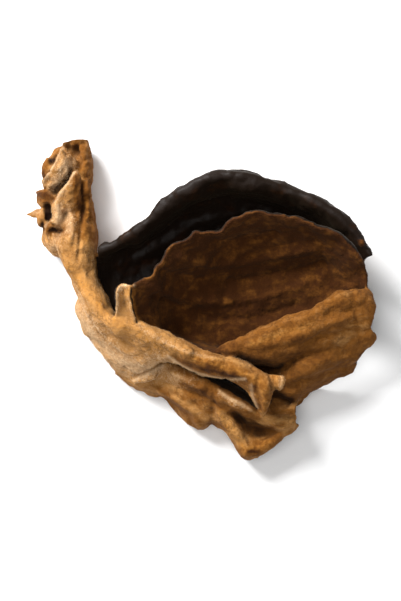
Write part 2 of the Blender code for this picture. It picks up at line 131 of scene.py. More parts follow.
# The hairs: which way they lie, and how they vary in length, curl, rise and tone.
FUZZ_SEED = 7
FUZZ_LIE = (0.9, -0.5, 0.0)
SWIRL_HEIGHT, SWIRL_TURNS = 0.3, 3
HAIR_LENGTHS = (0.5, 1.4)
HAIR_CURLS = (-2.2, 2.2)
HAIR_RISES = (0.15, 0.7)
FIRST_RISE = 0.8
HAIR_DEPTH = 1.4
HAIR_TONE_SPREAD = 0.12
# No hair grows lower than this, so that none reaches into what the mushroom lies on.
HAIR_FREE = 0.9
# Hairs stay off the smooth side from here on, and thin out as the skin sees less of its surroundings.
BARE_SIDE = 0.25
OPEN_GAIN, OPEN_LOSS = 2, 0.7
# Each coat of hairs with how many it has and their size, as shares of the longest coat's, the width of
# a hair at each step along it, and what it grows thickest on.
COATS = (
    ("fuzz", 1.0, 1.0, (1.0, 0.9, 0.65, 0.0), {"pale": 1.0, "rim": 0.06}),
    ("velvet", 1.6, 0.55, (1.0, 0.8, 0.0), {"tone": 1.0, "rim": 0.3, "pale": 0.4}),
    ("down", 1.6, 0.36, (1.0, 0.8, 0.0), {"tone": 0.8, "even": 0.3}),
)

# The skin's patterns: the scale, detail and roughness of each one's noise.
PATTERNS = {
    "blotches": (150.0, 5.0, 0.62),
    "mottle": (560.0, 4.0, 0.65),
    "velvet": (2100.0, 3.0, 0.65),
    "cracks": (340.0, 3.0, 0.6),
}
# What the grain is multiplied by and raised by to make streaks.
STREAKS = (0.45, 0.5)
# Where each part of the finish starts to come in, and where it is fully there.
COMES_IN = {
    "tawny": (-0.1, 0.5),
    "tan": (0.45, 1.0),
    "crack": (0.03, 0.0),
    "cracked_blotch": (0.4, 0.6),
    "gold_mottle": (0.35, 0.65),
    "gold_tone": (0.0, 0.7),
    "hairy_velvet": (0.42, 0.62),
    "hairy_mottle": (0.4, 0.6),
    "hairy_tone": (0.1, 0.6),
    "veil": (0.3, 1.0),
    "dark": (0.0, 0.6),
    "dark_fold": (0.95, 0.65),
    "worn": (0.52, 0.72),
    "face": (0.35, 0.65),
    "shadow": (0.78, 0.2),
    "lit_open": (0.3, 0.5),
    "lit_side": (0.5, 0.1),
    "inner": (0.35, 0.65),
    "tawny_hair": (-0.1, 0.35),
    "tan_hair": (0.3, 0.75),
    "pale_hair": (0.6, 1.1),
}
# How strong each part of the finish is.
STRENGTH = {
    "blotches": 0.9,
    "mottle": 0.6,
    "streaks": 0.65,
    "crack_grain": 0.3,
    "cracks": 0.5,
    "rim": 0.6,
    "gold": 0.8,
    "veil": 0.36,
    "dark": 0.94,
    "worn": 0.35,
    "shadow": 0.95,
    "lit": 0.6,
    "smoothness": 0.42,
}
# What the pale marks are multiplied by and raised by to give the share of hairs in the skin.
HAIRY_SHARE = (0.95, 0.04)
ROUGHNESS = 0.95
BUMP_MOTTLE = BUMP_STREAKS = 3.0
SMOOTH_BUMP = (-0.8, 1.0)
BUMP_DEPTH = 0.16
FLESH_SHINE = {
    "Specular IOR Level": 0.14,
    "Sheen Weight": 0.02,
    "Sheen Roughness": 0.6,
    "Sheen Tint": (0.9, 0.66, 0.4, 1.0),
}
HAIR_SHINE = {"Roughness": 0.9, "Specular IOR Level": 0.14}

# The stage, in metres and watts: each light with its place, size and power.
FLOOR_SIDE = 4.0
FLOOR_COLOUR = (0.86, 0.86, 0.86, 1)
FLOOR_ROUGHNESS = 0.75
LIGHTS = (
    ("key", (-0.27, 0.32, 0.36), 0.22, 6.6),
    ("fill", (-0.1, -0.05, 0.75), 0.5, 2.6),
)
SKY_COLOUR = (1, 1, 1, 1)
SKY_STRENGTH = 0.32
CAMERA_HEIGHT = 0.62
PHOTO_WIDTH = 401
PHOTO_HEIGHT = 601
WIDTH_SHARE = 0.88

# The same lobes as in the frame's source: rows of points in millimetres that each smooth surface passes
# through. settle() then moves the flesh to where the frame's solid lies.
HEM = (
    ((-47.5, 25, 6), (-46.5, 27, 10), (-43.5, 28, 13), (-40.5, 28.5, 14), (-37.5, 29, 14),
     (-35, 29, 11), (-34.3, 28, 7)),
    ((-48.3, 18, 5), (-47, 18.5, 10), (-43.5, 19, 16), (-39.5, 19, 19), (-35.5, 19, 17), (-33, 19, 12),
     (-32.6, 19, 6)),
    ((-42.8, 11, 5), (-42, 11, 10), (-39.5, 11, 16), (-37, 11, 18.5), (-34.5, 11, 17), (-33, 11, 12),
     (-33, 11, 7)),
    ((-38.5, 4, 5), (-38, 4, 10), (-36, 4, 16), (-34, 4, 18.5), (-32.5, 4, 17.5), (-31.6, 4, 13),
     (-32, 4, 8)),
    ((-37, -5, 3), (-36.8, -5, 8), (-34.5, -4.2, 15), (-32, -3.8, 19), (-29, -3.9, 20.5),
     (-26.6, -4.7, 18.5), (-25.6, -5.2, 13)),
    ((-34, -11, 0.8), (-33, -10.5, 7), (-30.7, -9.3, 14.5), (-28.6, -7.5, 20), (-26.8, -5.8, 23.5),
     (-25.6, -5, 25), (-25, -4.6, 22)),
    ((-29, -17.5, 1), (-28, -16, 7.5), (-25.8, -13.3, 15), (-23.6, -10.3, 21), (-22, -7.8, 25),
     (-21.2, -6.4, 26), (-20.8, -5.8, 23)),
    ((-23.8, -22.4, 6), (-22.6, -21, 10), (-20.3, -16.8, 16.5), (-18.7, -12.8, 22.5), (-18, -9.6, 26),
     (-18, -7.8, 25), (-18.3, -7, 20)),
    ((-17, -22.8, 10), (-16.3, -20.8, 13.5), (-14.5, -17, 19), (-13, -13.5, 24), (-12, -10.8, 26),
     (-11.6, -9.6, 24), (-12, -10, 19)),
    ((-10.8, -17.9, 15.5), (-10.4, -17.2, 18), (-9.2, -15.8, 22), (-8, -14.2, 25), (-7, -12.6, 26),
     (-6.2, -12, 23), (-6.5, -12.5, 18)),
    ((-6.2, -19.1, 17.5), (-5.9, -18.6, 20), (-5.2, -17.8, 23.5), (-4.2, -16.3, 26),
     (-3.2, -14.9, 26.3), (-2, -13.9, 23), (-2.2, -14.3, 18)),
    ((1.6, -22.2, 18.5), (1.9, -21.8, 21), (2.5, -20.8, 24.5), (3.2, -19.2, 26.6), (4, -17.6, 26.3),
     (4.4, -16.6, 23), (4, -17, 18)),
    ((9.4, -23.3, 20), (9.6, -23, 22.2), (10, -22.2, 25), (10.5, -20.9, 26.8), (11, -19.6, 26.3),
     (11.5, -18.6, 23.5), (11.3, -19.1, 20)),
    ((14.2, -27.2, 20.5), (14.7, -27.1, 22.5), (15.8, -26, 25), (17, -24.4, 27), (17.7, -22.9, 26.6),
     (18, -21.8, 24.3), (17.5, -22.2, 21.8)),
    ((17.9, -33.6, 17.5), (18.5, -34.4, 18.8), (19.8, -31.6, 22), (20.6, -28.3, 24.6),
     (21.4, -25.8, 25.2), (22.5, -24.8, 24.6), (21.8, -22.4, 23.6)),
)
EAR = (
    ((-19.2, -8.2, 25.3), (-21.8, -7.3, 24.8), (-24, -6.6, 24.3), (-26, -5.6, 23.6)),
    ((-20.3, -3.8, 29), (-22, -3, 27.3), (-23.9, -2.6, 26.8), (-25.7, -2, 28.6)),
    ((-21.1, 0.8, 31), (-22.4, 1, 29.3), (-24, 1.2, 29.1), (-25.6, 1.2, 31.4)),
    ((-21.2, 4.3, 32.2), (-22.6, 5.1, 31.6), (-24, 4.9, 31.6), (-25.3, 3.6, 32.6)),
)
CURL = (
    ((19.6, -21.4, 24.4), (21.4, -21.5, 26), (22.7, -21.8, 26.4), (23.4, -22.2, 25.2)),
    ((19.9, -22.8, 24.8), (21.7, -23, 26), (23.3, -23.2, 26.9), (24.2, -23.4, 25.2)),
    ((20.1, -24.2, 24.6), (21.7, -24.6, 25.6), (23.2, -25, 26.5), (24.1, -25.1, 24.8)),
    ((20.3, -25.6, 23.8), (21.3, -26.1, 24.6), (22.4, -26.4, 24.8), (23.1, -26.3, 23.6)),
)
UPPER_FLAP = (
    ((-37.8, 42.4, 14.5), (-40, 44.6, 18.4), (-42.2, 46.9, 19.6)),
    ((-38.6, 38, 14.5), (-41, 40.2, 18.8), (-43.7, 42.5, 20.4)),
    ((-40.2, 34.8, 13.8), (-42.8, 36.8, 18), (-46, 39.2, 19.4)),
    ((-42.8, 31.2, 11), (-45.6, 33.2, 15.2), (-49, 35.4, 15.8)),
)
LOWER_FLAP = (
    ((-34.2, 34.8, 15), (-36.2, 37.2, 19.6), (-38, 39.6, 21)),
    ((-35, 31.2, 15.5), (-37.2, 33.8, 20.2), (-39.8, 36.4, 21.8)),
    ((-36.6, 27.4, 15.6), (-39, 30.4, 19.8), (-41.9, 33.5, 21.4)),
    ((-39, 23.6, 14.6), (-41.6, 27.2, 18), (-44.6, 30.1, 18.8)),
)
BROW = (
    ((-50.4, 33.5, 8), (-50.3, 32.4, 10.2), (-50, 31.2, 10.6)),
    ((-48.6, 34.6, 11.6), (-48.5, 32.4, 14.6), (-48.1, 30, 14.6)),
    ((-46.3, 34.8, 13.6), (-46.2, 32.2, 16.4), (-46, 29.6, 16)),
    ((-44.4, 34.2, 14), (-44.2, 32.2, 16.6), (-44.3, 30.4, 16.4)),
)
SHEET = (
    ((5, -21, 12), (4.9, -20, 12.5), (4.8, -19.3, 13), (4.6, -18.5, 13.5), (4.4, -17.8, 14),
     (4.2, -17, 14.5), (4, -16, 15), (3.8, -15.3, 14.5)),
    ((12, -24, 8), (11.5, -22.5, 9), (11, -21, 9), (10.8, -19.5, 7), (10.6, -17.5, 7),
     (10.2, -16.3, 17.5), (9.2, -12.9, 20), (8.5, -11.8, 18)),
    ((20, -28.5, 5), (18.5, -25.5, 7), (17.8, -23.2, 7.5), (17.3, -20.8, 6), (17.1, -17.9, 6),
     (16.6, -16.7, 18.5), (15.3, -11, 22.3), (14.3, -9.7, 20)),
    ((26.5, -31.2, 0.2), (25.5, -28, 7), (25, -25, 11.5), (24.8, -22.3, 13.5), (24.6, -18.7, 10.5),
     (24.1, -16.9, 18.3), (22.3, -8, 23.2), (21, -6.6, 20.7)),
    ((30.2, -30.8, -0.2), (31, -27.5, 8), (31.5, -23.5, 14), (32, -19.5, 18), (32.2, -15.8, 17),
     (32, -11, 21), (30.7, -4.6, 24.2), (29.2, -3.2, 21.5)),
    ((36, -25.3, 1.5), (37.5, -23, 8.5), (38.7, -20.5, 13.5), (39.7, -17.5, 16.5), (40.3, -14, 17.8),
     (40.3, -9, 21), (39, -1, 24.5), (37.5, 0.6, 22)),
    ((43.8, -22.2, 6), (45.2, -20.5, 9), (46.4, -18, 12), (47.4, -15.5, 14.5), (48.8, -12.5, 16),
     (48.5, -8, 19), (47.5, 1.5, 22), (46.5, 3.8, 20.5)),
    ((45.8, -21.3, 6), (47, -19.3, 8.5), (48.1, -16.5, 11.5), (49.5, -13.8, 14), (53, -10.7, 16.5),
     (50.2, -7.5, 18.5), (51.3, -2.5, 19), (51, 3, 18)),
)
HOLLOW = (
    ((-18, -9.4, 24), (-18.3, -8, 24.5), (-18.8, -6.6, 25.2), (-19.6, -4.6, 26.4), (-20.4, -2.2, 27.8),
     (-21, 0.4, 29.2), (-21.3, 2.6, 30.4), (-21.6, 4.8, 31.4)),
    ((-10, -11.5, 19), (-10.2, -10, 12.5), (-10.8, -8, 10.5), (-11.8, -5, 11), (-13, -1.5, 14),
     (-14.3, 2, 19), (-15.5, 5, 25), (-16.8, 7, 29)),
    ((-2, -14.5, 18), (-2.2, -13, 9.5), (-3, -9, 7.5), (-4.5, -4, 8.5), (-6.5, 1.5, 12),
     (-8.5, 6.5, 18), (-10.5, 10.5, 24), (-12, 12, 29.5)),
    ((6.5, -16.5, 17), (6.3, -14.5, 8), (5, -8.5, 6.5), (3, -2, 7.5), (0.5, 5, 11.5), (-2, 11, 18),
     (-5, 16, 25.5), (-6.5, 18, 31)),
    ((16, -17, 8), (15, -13, 7), (13, -6.5, 6.5), (10.5, 1, 7.5), (8, 9, 11.5), (5.5, 15, 18),
     (4, 19, 24.5), (3.5, 20, 28.5)),
    ((25, -14, 8), (24, -10, 7.5), (22, -3, 7.5), (19.5, 5, 9), (17, 13, 13), (14.8, 20, 20),
     (13.3, 24.5, 27.5), (12.5, 26, 32)),
    ((34, -9, 9), (33, -6, 9), (31.5, 0, 9.5), (29.5, 8, 11), (27.5, 15, 15.5), (26, 20, 21.5),
     (25.3, 23, 27), (25, 23.5, 30.5)),
    ((43, -5, 11), (42.7, -2, 11.5), (42, 3, 12.3), (41, 8.5, 14.5), (39.8, 14, 18.5),
     (38.5, 18.5, 23.5), (37.5, 21, 28), (37, 21.8, 30)),
    ((49.5, -3, 16), (49.9, -1, 16), (50.2, 1.5, 16.5), (50.2, 4.5, 17.5), (49.8, 7.5, 19),
     (49, 10.5, 21), (48, 13, 23), (47.3, 14.2, 24.5)),
)
WALL = (
    ((-26.6, -22, 1.5), (-25.6, -21, 5), (-23.6, -19, 8), (-21.5, -16.8, 10), (-19.5, -15, 12),
     (-18, -14, 11), (-17, -13.5, 10)),
    ((-19.4, -26.8, 0.5), (-18.8, -26, 5.5), (-17.2, -22.8, 9.5), (-15, -20, 11.5), (-13, -18, 12.5),
     (-11.5, -16.5, 11.5), (-10.5, -15.5, 10)),
    ((-11.5, -30, 0.3), (-11.3, -29.3, 5.5), (-10.3, -26, 9.5), (-9.5, -23, 12), (-8.6, -20, 14),
     (-7.8, -18.6, 12), (-6.5, -17, 8)),
    ((-5.5, -35.3, -0.2), (-5.5, -34.8, 5.5), (-5, -31, 10), (-4.4, -27, 13), (-3.6, -22.3, 16),
     (-3, -21.2, 12.5), (-1.5, -19.5, 6)),
    ((0.5, -38.3, -0.2), (0.3, -37.8, 5.5), (0.8, -34.5, 10.5), (1.6, -30.5, 14), (2.8, -25.6, 17.3),
     (3.8, -24.6, 12.5), (5.5, -22.5, 5)),
    ((6, -38.3, 0.8), (5.5, -37.5, 6.5), (5.6, -35, 12.5), (6.6, -32, 15.5), (8.6, -28.9, 18.2),
     (9.8, -27.6, 12), (11.5, -25.5, 4.5)),
    ((10, -41.5, 2), (9.3, -40.5, 8), (9.2, -37.5, 12), (10.8, -34.3, 10.5), (12.6, -31.4, 17.2),
     (13.8, -30.2, 11), (15.5, -28, 4.5)),
    ((14.5, -47, 4), (13.8, -45.8, 9.5), (13.8, -42, 8.5), (15.3, -38, 5.5), (16.8, -34, 15.5),
     (18.2, -32.6, 9.5), (20.5, -30, 4.5)),
    ((20, -44.6, 5), (19.8, -43.8, 10), (19.5, -41, 9.5), (20.5, -38.5, 8), (22, -36.5, 14),
     (23.5, -34, 10), (25, -31, 4.5)),
    ((26, -40.5, 6), (26, -40, 11), (25.3, -39, 12.5), (25.2, -38, 13), (25.5, -36.8, 14.5),
     (26.5, -34.5, 11), (27.8, -31.5, 4.5)),
    ((28, -37, 8), (28.5, -36.8, 11), (28.3, -36.4, 13), (28.2, -35.6, 13.6), (28.4, -34.4, 13),
     (29, -32.4, 9), (29.8, -29.5, 5)),
)
BOWL = (
    ((-30, -2, 10), (-28, -2, 9), (-26, -3, 8), (-24, -4, 7), (-22, -5, 7), (-21, -6, 7), (-20, -7, 7),
     (-19, -8, 7)),
    ((-31.5, 4, 9), (-28, 4, 5), (-22, 4, 3), (-15, 4, 2), (-9, 3, 1.4), (-4, 1, 1.6), (0, -1, 2),
     (3, -4, 3)),
    ((-32, 8, 9), (-28, 9, 5), (-20, 11, 2.5), (-10, 13, 1.3), (1, 13, 1.2), (11, 10, 1.2),
     (18, 5, 1.4), (22, 0, 2.5)),
    ((-32.5, 12, 10), (-28, 13.5, 7), (-19, 17, 5.5), (-8, 22, 3.5), (6, 25, 3), (20, 22, 3),
     (31, 14, 4), (38, 5, 7)),
    ((-32, 13.2, 11.5), (-28, 14.6, 10), (-19, 19, 10), (-8, 26, 9.5), (7, 32, 9.5), (23, 28.5, 9),
     (37.5, 21.5, 11.5), (47.5, 11, 12)),
    ((-31.8, 14.5, 14), (-27.8, 15.8, 13.8), (-18.7, 20.5, 16), (-8.5, 28, 17.5), (6.8, 34.5, 19),
     (23.3, 30.5, 17), (39, 24, 18.5), (49, 12.5, 17.5)),
    ((-31.5, 15.6, 15.6), (-27.5, 16.9, 16), (-18.3, 22.2, 19.6), (-8.8, 30.3, 22.8),
     (6.5, 37.3, 25.5), (23.8, 33, 22.5), (40, 26, 23), (49.8, 14, 20.5)),
    ((-31, 17, 15), (-27, 18, 15.2), (-18, 24.5, 18.8), (-9, 33, 21.3), (6.2, 40, 23.8),
     (24.5, 35.3, 21), (41.3, 28, 21.5), (50.8, 15.5, 19.5)),
)
LUMPS = (
    ((-41.5, 37.5, 6.8), (6.2, 12.5, 7.2), 0),
    ((-41, 29, 9), (7, 6, 7.5), 0),
    ((-47.2, 31.6, 9), (3.4, 3.2, 5.5), 0),
    ((-43.4, 27.6, 13), (2.6, 5.0, 5.5), 0),
    ((-46.4, 40.3, 8.5), (2.5, 3.8, 6), 0),
    ((-36.2, 40, 9), (2.8, 9.5, 7), 0),
    ((-35.4, 29.5, 10.5), (2.2, 6.5, 6), 8),
    ((-39.5, 49, 8), (4.6, 2.8, 6.5), 0),
    ((-50.4, 27.2, 7), (3.8, 1.2, 1.2), 8),
    ((-48.4, 25.4, 9), (2.2, 3, 4.5), 0),
    ((-45.6, 22.6, 12), (3.2, 1.3, 3.5), 25),
)
# Each lobe with how light its velvety side is coloured, from 0 to 1, and how far its margin waves, in
# millimetres. The hollow's 0.0 is painted shade over a side as tan as the others.
LOBES = (
    ("hem", HEM, 0.95, 0.6),
    ("ear", EAR, 0.85, 0.2),
    ("curl", CURL, 0.9, 0.2),
    ("upper_flap", UPPER_FLAP, 0.8, 0.5),
    ("lower_flap", LOWER_FLAP, 0.9, 0.5),
    ("brow", BROW, 0.5, 0.4),
    ("sheet", SHEET, 0.38, 0.9),
    # Painted shade: the hollow takes the darkest brown for the shadow it lies in.
    ("hollow", HOLLOW, 0.0, 1.3),
    ("wall", WALL, 0.76, 0.7),
    ("bowl", BOWL, 0.5, 1.8),
)
FOOT_TONE = 0.72
# The wall is black on both sides past its rim along the slit: from this U, up to this V.
POCKET = (0.72, 0.72)

# Folds of each lobe, as seen from above: how far it is lifted there, the half width, and the route.
FOLDS = {
    "hem": (
        # The crease between the band and its flank, and the crest of the band.
        (-1.5, 1.7, ((-44, 16), (-41.7, 6.9), (-37.5, 0.3), (-33.8, -6.3), (-29, -11.6), (-25.5, -15))),
        (1.2, 1.8, ((-41.7, 16.5), (-37.8, 8.5), (-34.3, 2.5), (-29.5, -4), (-24.5, -8.5))),
        (-0.8, 1.1, ((-37.2, 15), (-34.8, 7), (-32.8, 1.5), (-29, -2.5))),
        (0.7, 1.2, ((-37.5, -6), (-33, -11.5), (-28.5, -16), (-24.5, -19.5))),
        (-0.8, 1.2, ((-34, -9.5), (-29.5, -14.5), (-25, -18.5), (-20, -21))),
        (0.8, 1.2, ((-27, -11), (-22.5, -14.5), (-17.5, -17.5))),
        (-0.7, 1.1, ((-25, -9.5), (-21, -13), (-16.5, -15.8))),
        # The crest along its upper margin.
        (1.0, 1.1, ((-20, -6.4), (-17.3, -8.4), (-11, -12), (-4, -15))),
        # The lip of the ledge, and the groove above it.
        (1.5, 1.0, ((-21.5, -24.2), (-17.6, -22.4), (-14.1, -20.6), (-12, -19.3))),
        (-1.6, 1.2, ((-20.5, -22.4), (-17, -20.8), (-13.8, -19.2), (-12.3, -18))),
        # Dents along the hem.
        (-0.9, 1.6, ((-16, -12.5), (-13.5, -16))),
        (-0.8, 1.4, ((-8, -13), (-6.5, -17))),
        (-0.8, 1.3, ((0, -16), (0.8, -20.5))),
        (-0.7, 1.3, ((6.8, -17.5), (7, -22))),
        (0.9, 1.2, ((14, -19.5), (18.3, -22.5), (19, -27), (18.9, -32))),
        (-1.1, 1.1, ((16.4, -22.6), (16.9, -27), (17.6, -31.5))),
        (0.8, 1.0, ((2, -17.4), (8, -18), (13, -19.3), (18, -21))),
    ),
    "sheet": (
        (-0.8, 2.0, ((20, -17.5), (27, -16.5), (33, -15.5), (37, -13.8), (43, -12))),
        (0.5, 1.6, ((25, -19.5), (33, -17.8), (39, -16.8), (46, -16))),
        (-0.8, 1.8, ((28, -24), (35, -21), (42, -19.5))),
        (0.8, 1.5, ((20, -12.5), (28, -10), (36, -6.5), (44, -4))),
        (-0.8, 1.5, ((26, -13), (34, -10.5), (42, -8.5), (49, -8.5))),
        (-0.8, 1.3, ((33, -4), (40, -2.5), (47, -1))),
        (0.8, 1.4, ((24, -26), (28, -28.5))),
    ),
    "hollow": (
        (-1.8, 3.0, ((-14, 2), (-6, -2), (4, -5), (16, -5), (28, -1))),
        (1.6, 2.6, ((-15, 5), (-6, 2.5), (6, 0.5), (18, 1.5), (32, 6))),
        (-1.9, 2.8, ((-12, 9), (-2, 7), (10, 6.5), (22, 8.5), (36, 12))),
        (1.5, 2.4, ((-7, 14), (3, 12.5), (13, 13), (24, 15.5), (34, 17))),
        (-1.4, 2.2, ((-2, 19), (6, 18.5), (14, 19.5), (22, 21))),
        (1.2, 1.8, ((34, -3), (40, 1.5), (46, 5))),
        (-1.2, 1.8, ((36, -6), (42, -1.5), (49, 2))),
    ),
    "wall": (
        (1.3, 1.6, ((5.4, -33.2), (8.2, -36.7), (11, -41), (13.8, -45.5))),
        (-1.2, 2.0, ((9.5, -33.5), (12.2, -37), (15.5, -40), (20, -40.5))),
        (0.7, 1.0, ((5.4, -27.6), (7.8, -29.4), (11.7, -31.6), (14.5, -33.6))),
        (-1.6, 2.4, ((3.0, -30.5), (3.2, -34.5), (2.6, -38.5))),
        (-1.3, 2.0, ((-17, -22.5), (-10, -25), (-4, -27), (1, -28.5))),
        (1.0, 1.8, ((-12, -26.5), (-6, -29.5), (-2, -33), (-0.5, -37))),
        (-0.8, 1.6, ((-13, -28.5), (-8.5, -31.5), (-5, -34.5))),
        (0.9, 1.5, ((-8, -21), (-4, -23.5), (0, -25.5))),
        (-0.9, 1.4, ((16, -43.5), (20, -41.5), (24, -39.5))),
    ),
    "bowl": (
        (-1.0, 2.4, ((-26, 12), (-14, 17), (-2, 25), (12, 28))),
        (0.9, 2.0, ((-22, 14), (-12, 22), (-4, 29), (8, 32.5), (22, 29))),
        (-0.8, 1.8, ((-20, 19), (-12, 26), (-2, 33), (10, 35.5), (24, 31.5))),
    ),
}

# The foot's ridges and creases, in the same form.
FOOT_CREASES = (
    # The hollow left of the upper flap, and the bulge beside it.
    (-1.8, 1.9, ((-43.9, 48), (-44.7, 45), (-45.8, 42.4))),
    (0.8, 1.0, ((-46.9, 43.2), (-48, 40.6), (-47.9, 38.4))),
    # The pits between the two flaps.
    (-1.5, 1.3, ((-39.4, 39.8), (-40.7, 37), (-42.6, 35), (-44.6, 33.2))),
    (-1.2, 1.2, ((-40.3, 48), (-40.8, 45))),
    # The strip along the right, with its creases.
    (-1.4, 1.0, ((-37.2, 43), (-37, 40.4))),
    (0.9, 0.9, ((-34.9, 37), (-34.6, 31.8), (-34.7, 26))),
    (-1.2, 0.9, ((-35.9, 37), (-35.6, 32), (-36.2, 26), (-36.6, 18), (-37.4, 12))),
    (-0.8, 0.8, ((-33.9, 36), (-33.7, 30), (-33.8, 24))),
    (-1.0, 1.0, ((-38.2, 47), (-37.4, 43.5), (-35.6, 41))),
    (-0.8, 0.9, ((-34, 44), (-35.6, 42.5), (-37, 42.8))),
    # The hole under the brow, and the pale bulge beside it.
    (-2.2, 1.4, ((-46.9, 29.2), (-46.5, 27), (-46.5, 25))),
    (1.4, 1.6, ((-44, 29.5), (-43.6, 27), (-43.5, 24.2))),
    # The curl, and the pits round it.
    (1.3, 1.0, ((-47.8, 22.6), (-46.6, 24.4), (-44.8, 24.5))),
    (-1.6, 1.1, ((-48.7, 24), (-48.2, 22))),
    (-1.6, 1.2, ((-46.6, 22.3), (-44.6, 21.5), (-42.6, 21.7))),
    (-1.0, 1.3, ((-41.2, 27), (-40.8, 24.5), (-41.4, 21))),
    (0.8, 1.2, ((-39.2, 25), (-38.8, 22), (-39.6, 18))),
)

# Marks on the skin, as seen from above: strength, half width, route.
# Painted shade in the slits, grooves and pits and under the overhangs, with one real stain at (48, -6).
SHADE_AND_STAIN_MARKS = (
    (1.0, 2.0, ((9.6, -17), (14, -17.9), (18.5, -18.6), (23.5, -19.2))),
    (0.8, 0.8, ((-19.8, -22.2), (-15.5, -20.1), (-12.4, -18.2))),
    (0.7, 1.2, ((1.2, -19.8), (5.4, -21.2))),
    (0.6, 1.4, ((48, -6.2), (48.4, -4.5))),
    (0.7, 3.5, ((22, -26), (26, -28), (28, -29.5))),
    (0.6, 2.4, ((2.6, -31.5), (3.0, -35), (2.6, -38))),
    (0.45, 2.2, ((11, -34.5), (14, -37), (19, -37))),
    (0.5, 1.0, ((-23.4, 4.2), (-23.2, 0.5), (-22.4, -3.4))),
    (0.5, 0.6, ((20.9, -23), (21.1, -26.4))),
    (0.5, 2.0, ((-14, -28), (-8, -32), (-3, -35))),
    (0.9, 1.6, ((-48.8, 31.6), (-46.8, 31.2), (-45, 30.4))),
    (1.0, 1.9, ((-47, 29.4), (-46.6, 25.4))),
    (0.9, 1.4, ((-48.6, 23.8), (-48.3, 22.6))),
    (0.9, 1.4, ((-46.4, 22), (-43, 21.4))),
    (0.75, 1.4, ((-39.6, 39.4), (-40.8, 36.6), (-42.2, 34.8))),
    (0.7, 0.9, ((-37.9, 37), (-38, 33), (-37.4, 29))),
    (0.6, 0.7, ((-36.3, 35.4), (-36.2, 30.6))),
    (1.0, 2.3, ((-43.6, 47.6), (-44.6, 45.4), (-45.6, 43.4))),
)
PALE_MARKS = (
    (1.0, 6.0, ((-40, 0), (-33, -11), (-26, -17.5), (-18, -20.5), (-13, -19.5))),
    (0.6, 5.0, ((-46, 16), (-42, 24), (-40, 24))),
    (1.0, 5.0, ((-40.5, 42), (-42, 37), (-45, 34.5))),
    # Painted highlights along the crests of the two flaps.
    (1.0, 1.2, ((-42.2, 46.9), (-43.7, 42.5), (-46, 39.2), (-49, 35.4))),
    (1.0, 1.2, ((-38, 39.6), (-39.8, 36.4), (-41.9, 33.5), (-44.6, 30.1))),
    (1.0, 3.4, ((-43.6, 28.6), (-43, 24.4), (-40.5, 27), (-39.8, 21.5))),
    (1.0, 1.1, ((-47.8, 22.8), (-46.6, 24.5), (-44.6, 24.6))),
    (0.9, 1.6, ((-49.5, 27.3), (-52.4, 27.6))),
    (0.6, 4.0, ((-10, -22), (-4, -23.5))),
    # Painted highlight along the wall's rim at the slit.
    (0.7, 1.6, ((5, -27.4), (8, -29.3), (12.5, -31.8))),
    (0.9, 1.2, ((23.4, -22), (23.6, -26))),
    # Painted highlights along the ear's outline, the hem's margins and the ledge's lip.
    (0.9, 1.0, ((-25.6, -3), (-25.4, 3.2), (-23.6, 4.9), (-21.4, 5))),
    (0.7, 0.9, ((-21.6, 1), (-20.2, -4.8), (-17.4, -8.2), (-11, -12), (-4, -15), (3, -16.4))),
    (0.6, 0.8, ((-9.9, -16.3), (-6.4, -19), (-1.6, -21.4), (2.6, -22.5), (12, -23))),
    (0.7, 0.9, ((-21.1, -24.1), (-17.6, -22.4), (-12, -19.5))),
)
OCHRE_MARKS = (
    (1.0, 4.5, ((-19, -10), (-12.5, -13.5))),
    (0.7, 3.0, ((-44, 33.5), (-42.5, 38))),
    (1.0, 3.0, ((-47, 20), (-44, 14), (-38, 8), (-33, 2), (-28, -4), (-22, -9))),
    (0.8, 2.6, ((-18, -9), (-10, -13.5), (0, -17.5), (10, -20.5), (17, -24), (19, -31))),
    (0.9, 2.5, ((5.4, -34), (9, -38), (13, -45), (20, -43))),
    (0.7, 2.0, ((15, -12.5), (23, -9.5), (32, -7))),
    (0.9, 2.4, ((-35, 30), (-34, 24), (-35, 18))),
)
